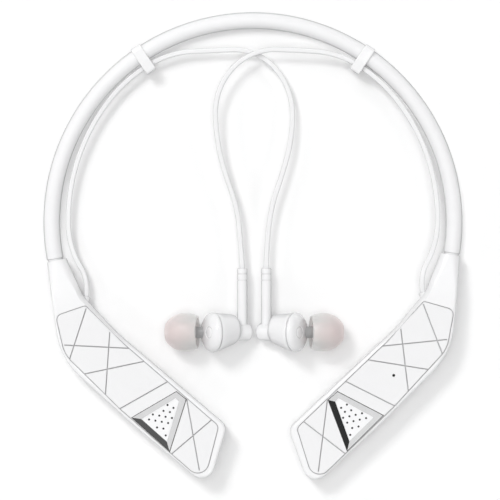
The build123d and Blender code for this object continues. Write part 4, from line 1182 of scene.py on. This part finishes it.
floor_mesh = bpy.data.meshes.new("floor")
floor_corners = [(x * HALF_FLOOR, y * HALF_FLOOR, 0) for x, y in ((-1, -1), (1, -1), (1, 1), (-1, 1))]
floor_mesh.from_pydata(floor_corners, [], [(0, 1, 2, 3)])
floor = bpy.data.objects.new("floor", floor_mesh)
floor.location = (0, 0, cad_low.z - 0.02 * MM)
scene.collection.objects.link(floor)
floor_mesh.materials.append(material("floor_paper", (0.93, 0.93, 0.93), (0.92, 0.92, 0.92), 0.9, 0.01, 800))

world = bpy.data.worlds.new("studio")
scene.world = world
world.use_nodes = True
sky = world.node_tree
ray = sky.nodes.new("ShaderNodeLightPath")


def white_glow(node=None, strength=1.0):
    """A white background light; returns its node."""
    node = node or sky.nodes.new("ShaderNodeBackground")
    node.inputs["Color"].default_value = (1, 1, 1, 1)
    node.inputs["Strength"].default_value = strength
    return node


def seen_by(ray_kind, others, special):
    """One light for a kind of ray and another for the rest; returns the node."""
    choose = sky.nodes.new("ShaderNodeMixShader")
    sky.links.new(ray.outputs[ray_kind], choose.inputs[0])
    sky.links.new(others.outputs[0], choose.inputs[1])
    sky.links.new(special.outputs[0], choose.inputs[2])
    return choose


# reflections see a pale room that is dark towards the right and straight overhead
looking = sky.nodes.new("ShaderNodeTexCoord").outputs["Generated"]
towards_dark = sky.nodes.new("ShaderNodeVectorMath")
towards_dark.operation = "DOT_PRODUCT"
towards_dark.inputs[1].default_value = heading_vector(DARK_SIDE).to_3d()
sky.links.new(looking, towards_dark.inputs[0])
upward = sky.nodes.new("ShaderNodeSeparateXYZ")
sky.links.new(looking, upward.inputs[0])
both = sky.nodes.new("ShaderNodeMath")
both.operation = "MULTIPLY"
to_side = map_range(sky, towards_dark.outputs["Value"], 0.35, 0.85, 0.9, 0.04, "SMOOTHSTEP")
to_top = map_range(sky, upward.outputs["Z"], 0.92, 0.98, 1.0, 0.10)
sky.links.new(to_side, both.inputs[0])
sky.links.new(to_top, both.inputs[1])
reflected = white_glow()
sky.links.new(both.outputs[0], reflected.inputs["Strength"])
lighting = seen_by("Is Glossy Ray", white_glow(sky.nodes["Background"], ROOM_STRENGTH), reflected)
picture = seen_by("Is Camera Ray", lighting, white_glow(strength=BACKDROP_STRENGTH))
sky.links.new(picture.outputs[0], sky.nodes["World Output"].inputs["Surface"])


def soft_light(name, place_at, aim, size, power, reflects=True):
    """A rectangular softbox that the camera doesn't see, and that reflections may not see either."""
    lamp = bpy.data.lights.new(name, "AREA")
    lamp.shape = "RECTANGLE"
    lamp.size, lamp.size_y = size
    lamp.energy = power
    thing = bpy.data.objects.new(name, lamp)
    thing.location = place_at
    thing.rotation_euler = (Vector(aim) - Vector(place_at)).to_track_quat("-Z", "Y").to_euler()
    thing.visible_camera = False
    thing.visible_glossy = reflects
    scene.collection.objects.link(thing)
    return thing


key = soft_light("key", (-1.75, 2.15, 3.8), centre, (1.2, 1.2), 74)
soft_light("overhead", (0, 0, 4.8), centre, (3.2, 3.2), 86, reflects=False)
for light_index in range(RING_LIGHTS):
    outward = heading_vector(360 * light_index / RING_LIGHTS).to_3d()
    ring_place = outward * 0.22 + Vector((0, 0, 0.14))
    soft_light(f"ring_{light_index}", ring_place, outward * 0.068, (0.16, 0.06), 0.042, reflects=False)
# the key light passes the thin tube, which keeps only its soft shadow
passed = bpy.data.collections.new("key_blockers")
key.light_linking.blocker_collection = passed
passed.objects.link(bpy.data.objects["neckband_tube"])
passed.collection_objects[0].light_linking.link_state = "EXCLUDE"

camera_data = bpy.data.cameras.new("camera")
camera = bpy.data.objects.new("camera", camera_data)
camera_data.sensor_width = 36
camera_data.lens = camera_data.sensor_width * CAMERA_HEIGHT / CAMERA_FIELD
camera.location = (*(centre + CAMERA_SHIFT).xy, CAMERA_HEIGHT)
camera_data.clip_end = 50
scene.collection.objects.link(camera)
scene.camera = camera
scene.view_settings.view_transform = "Standard"
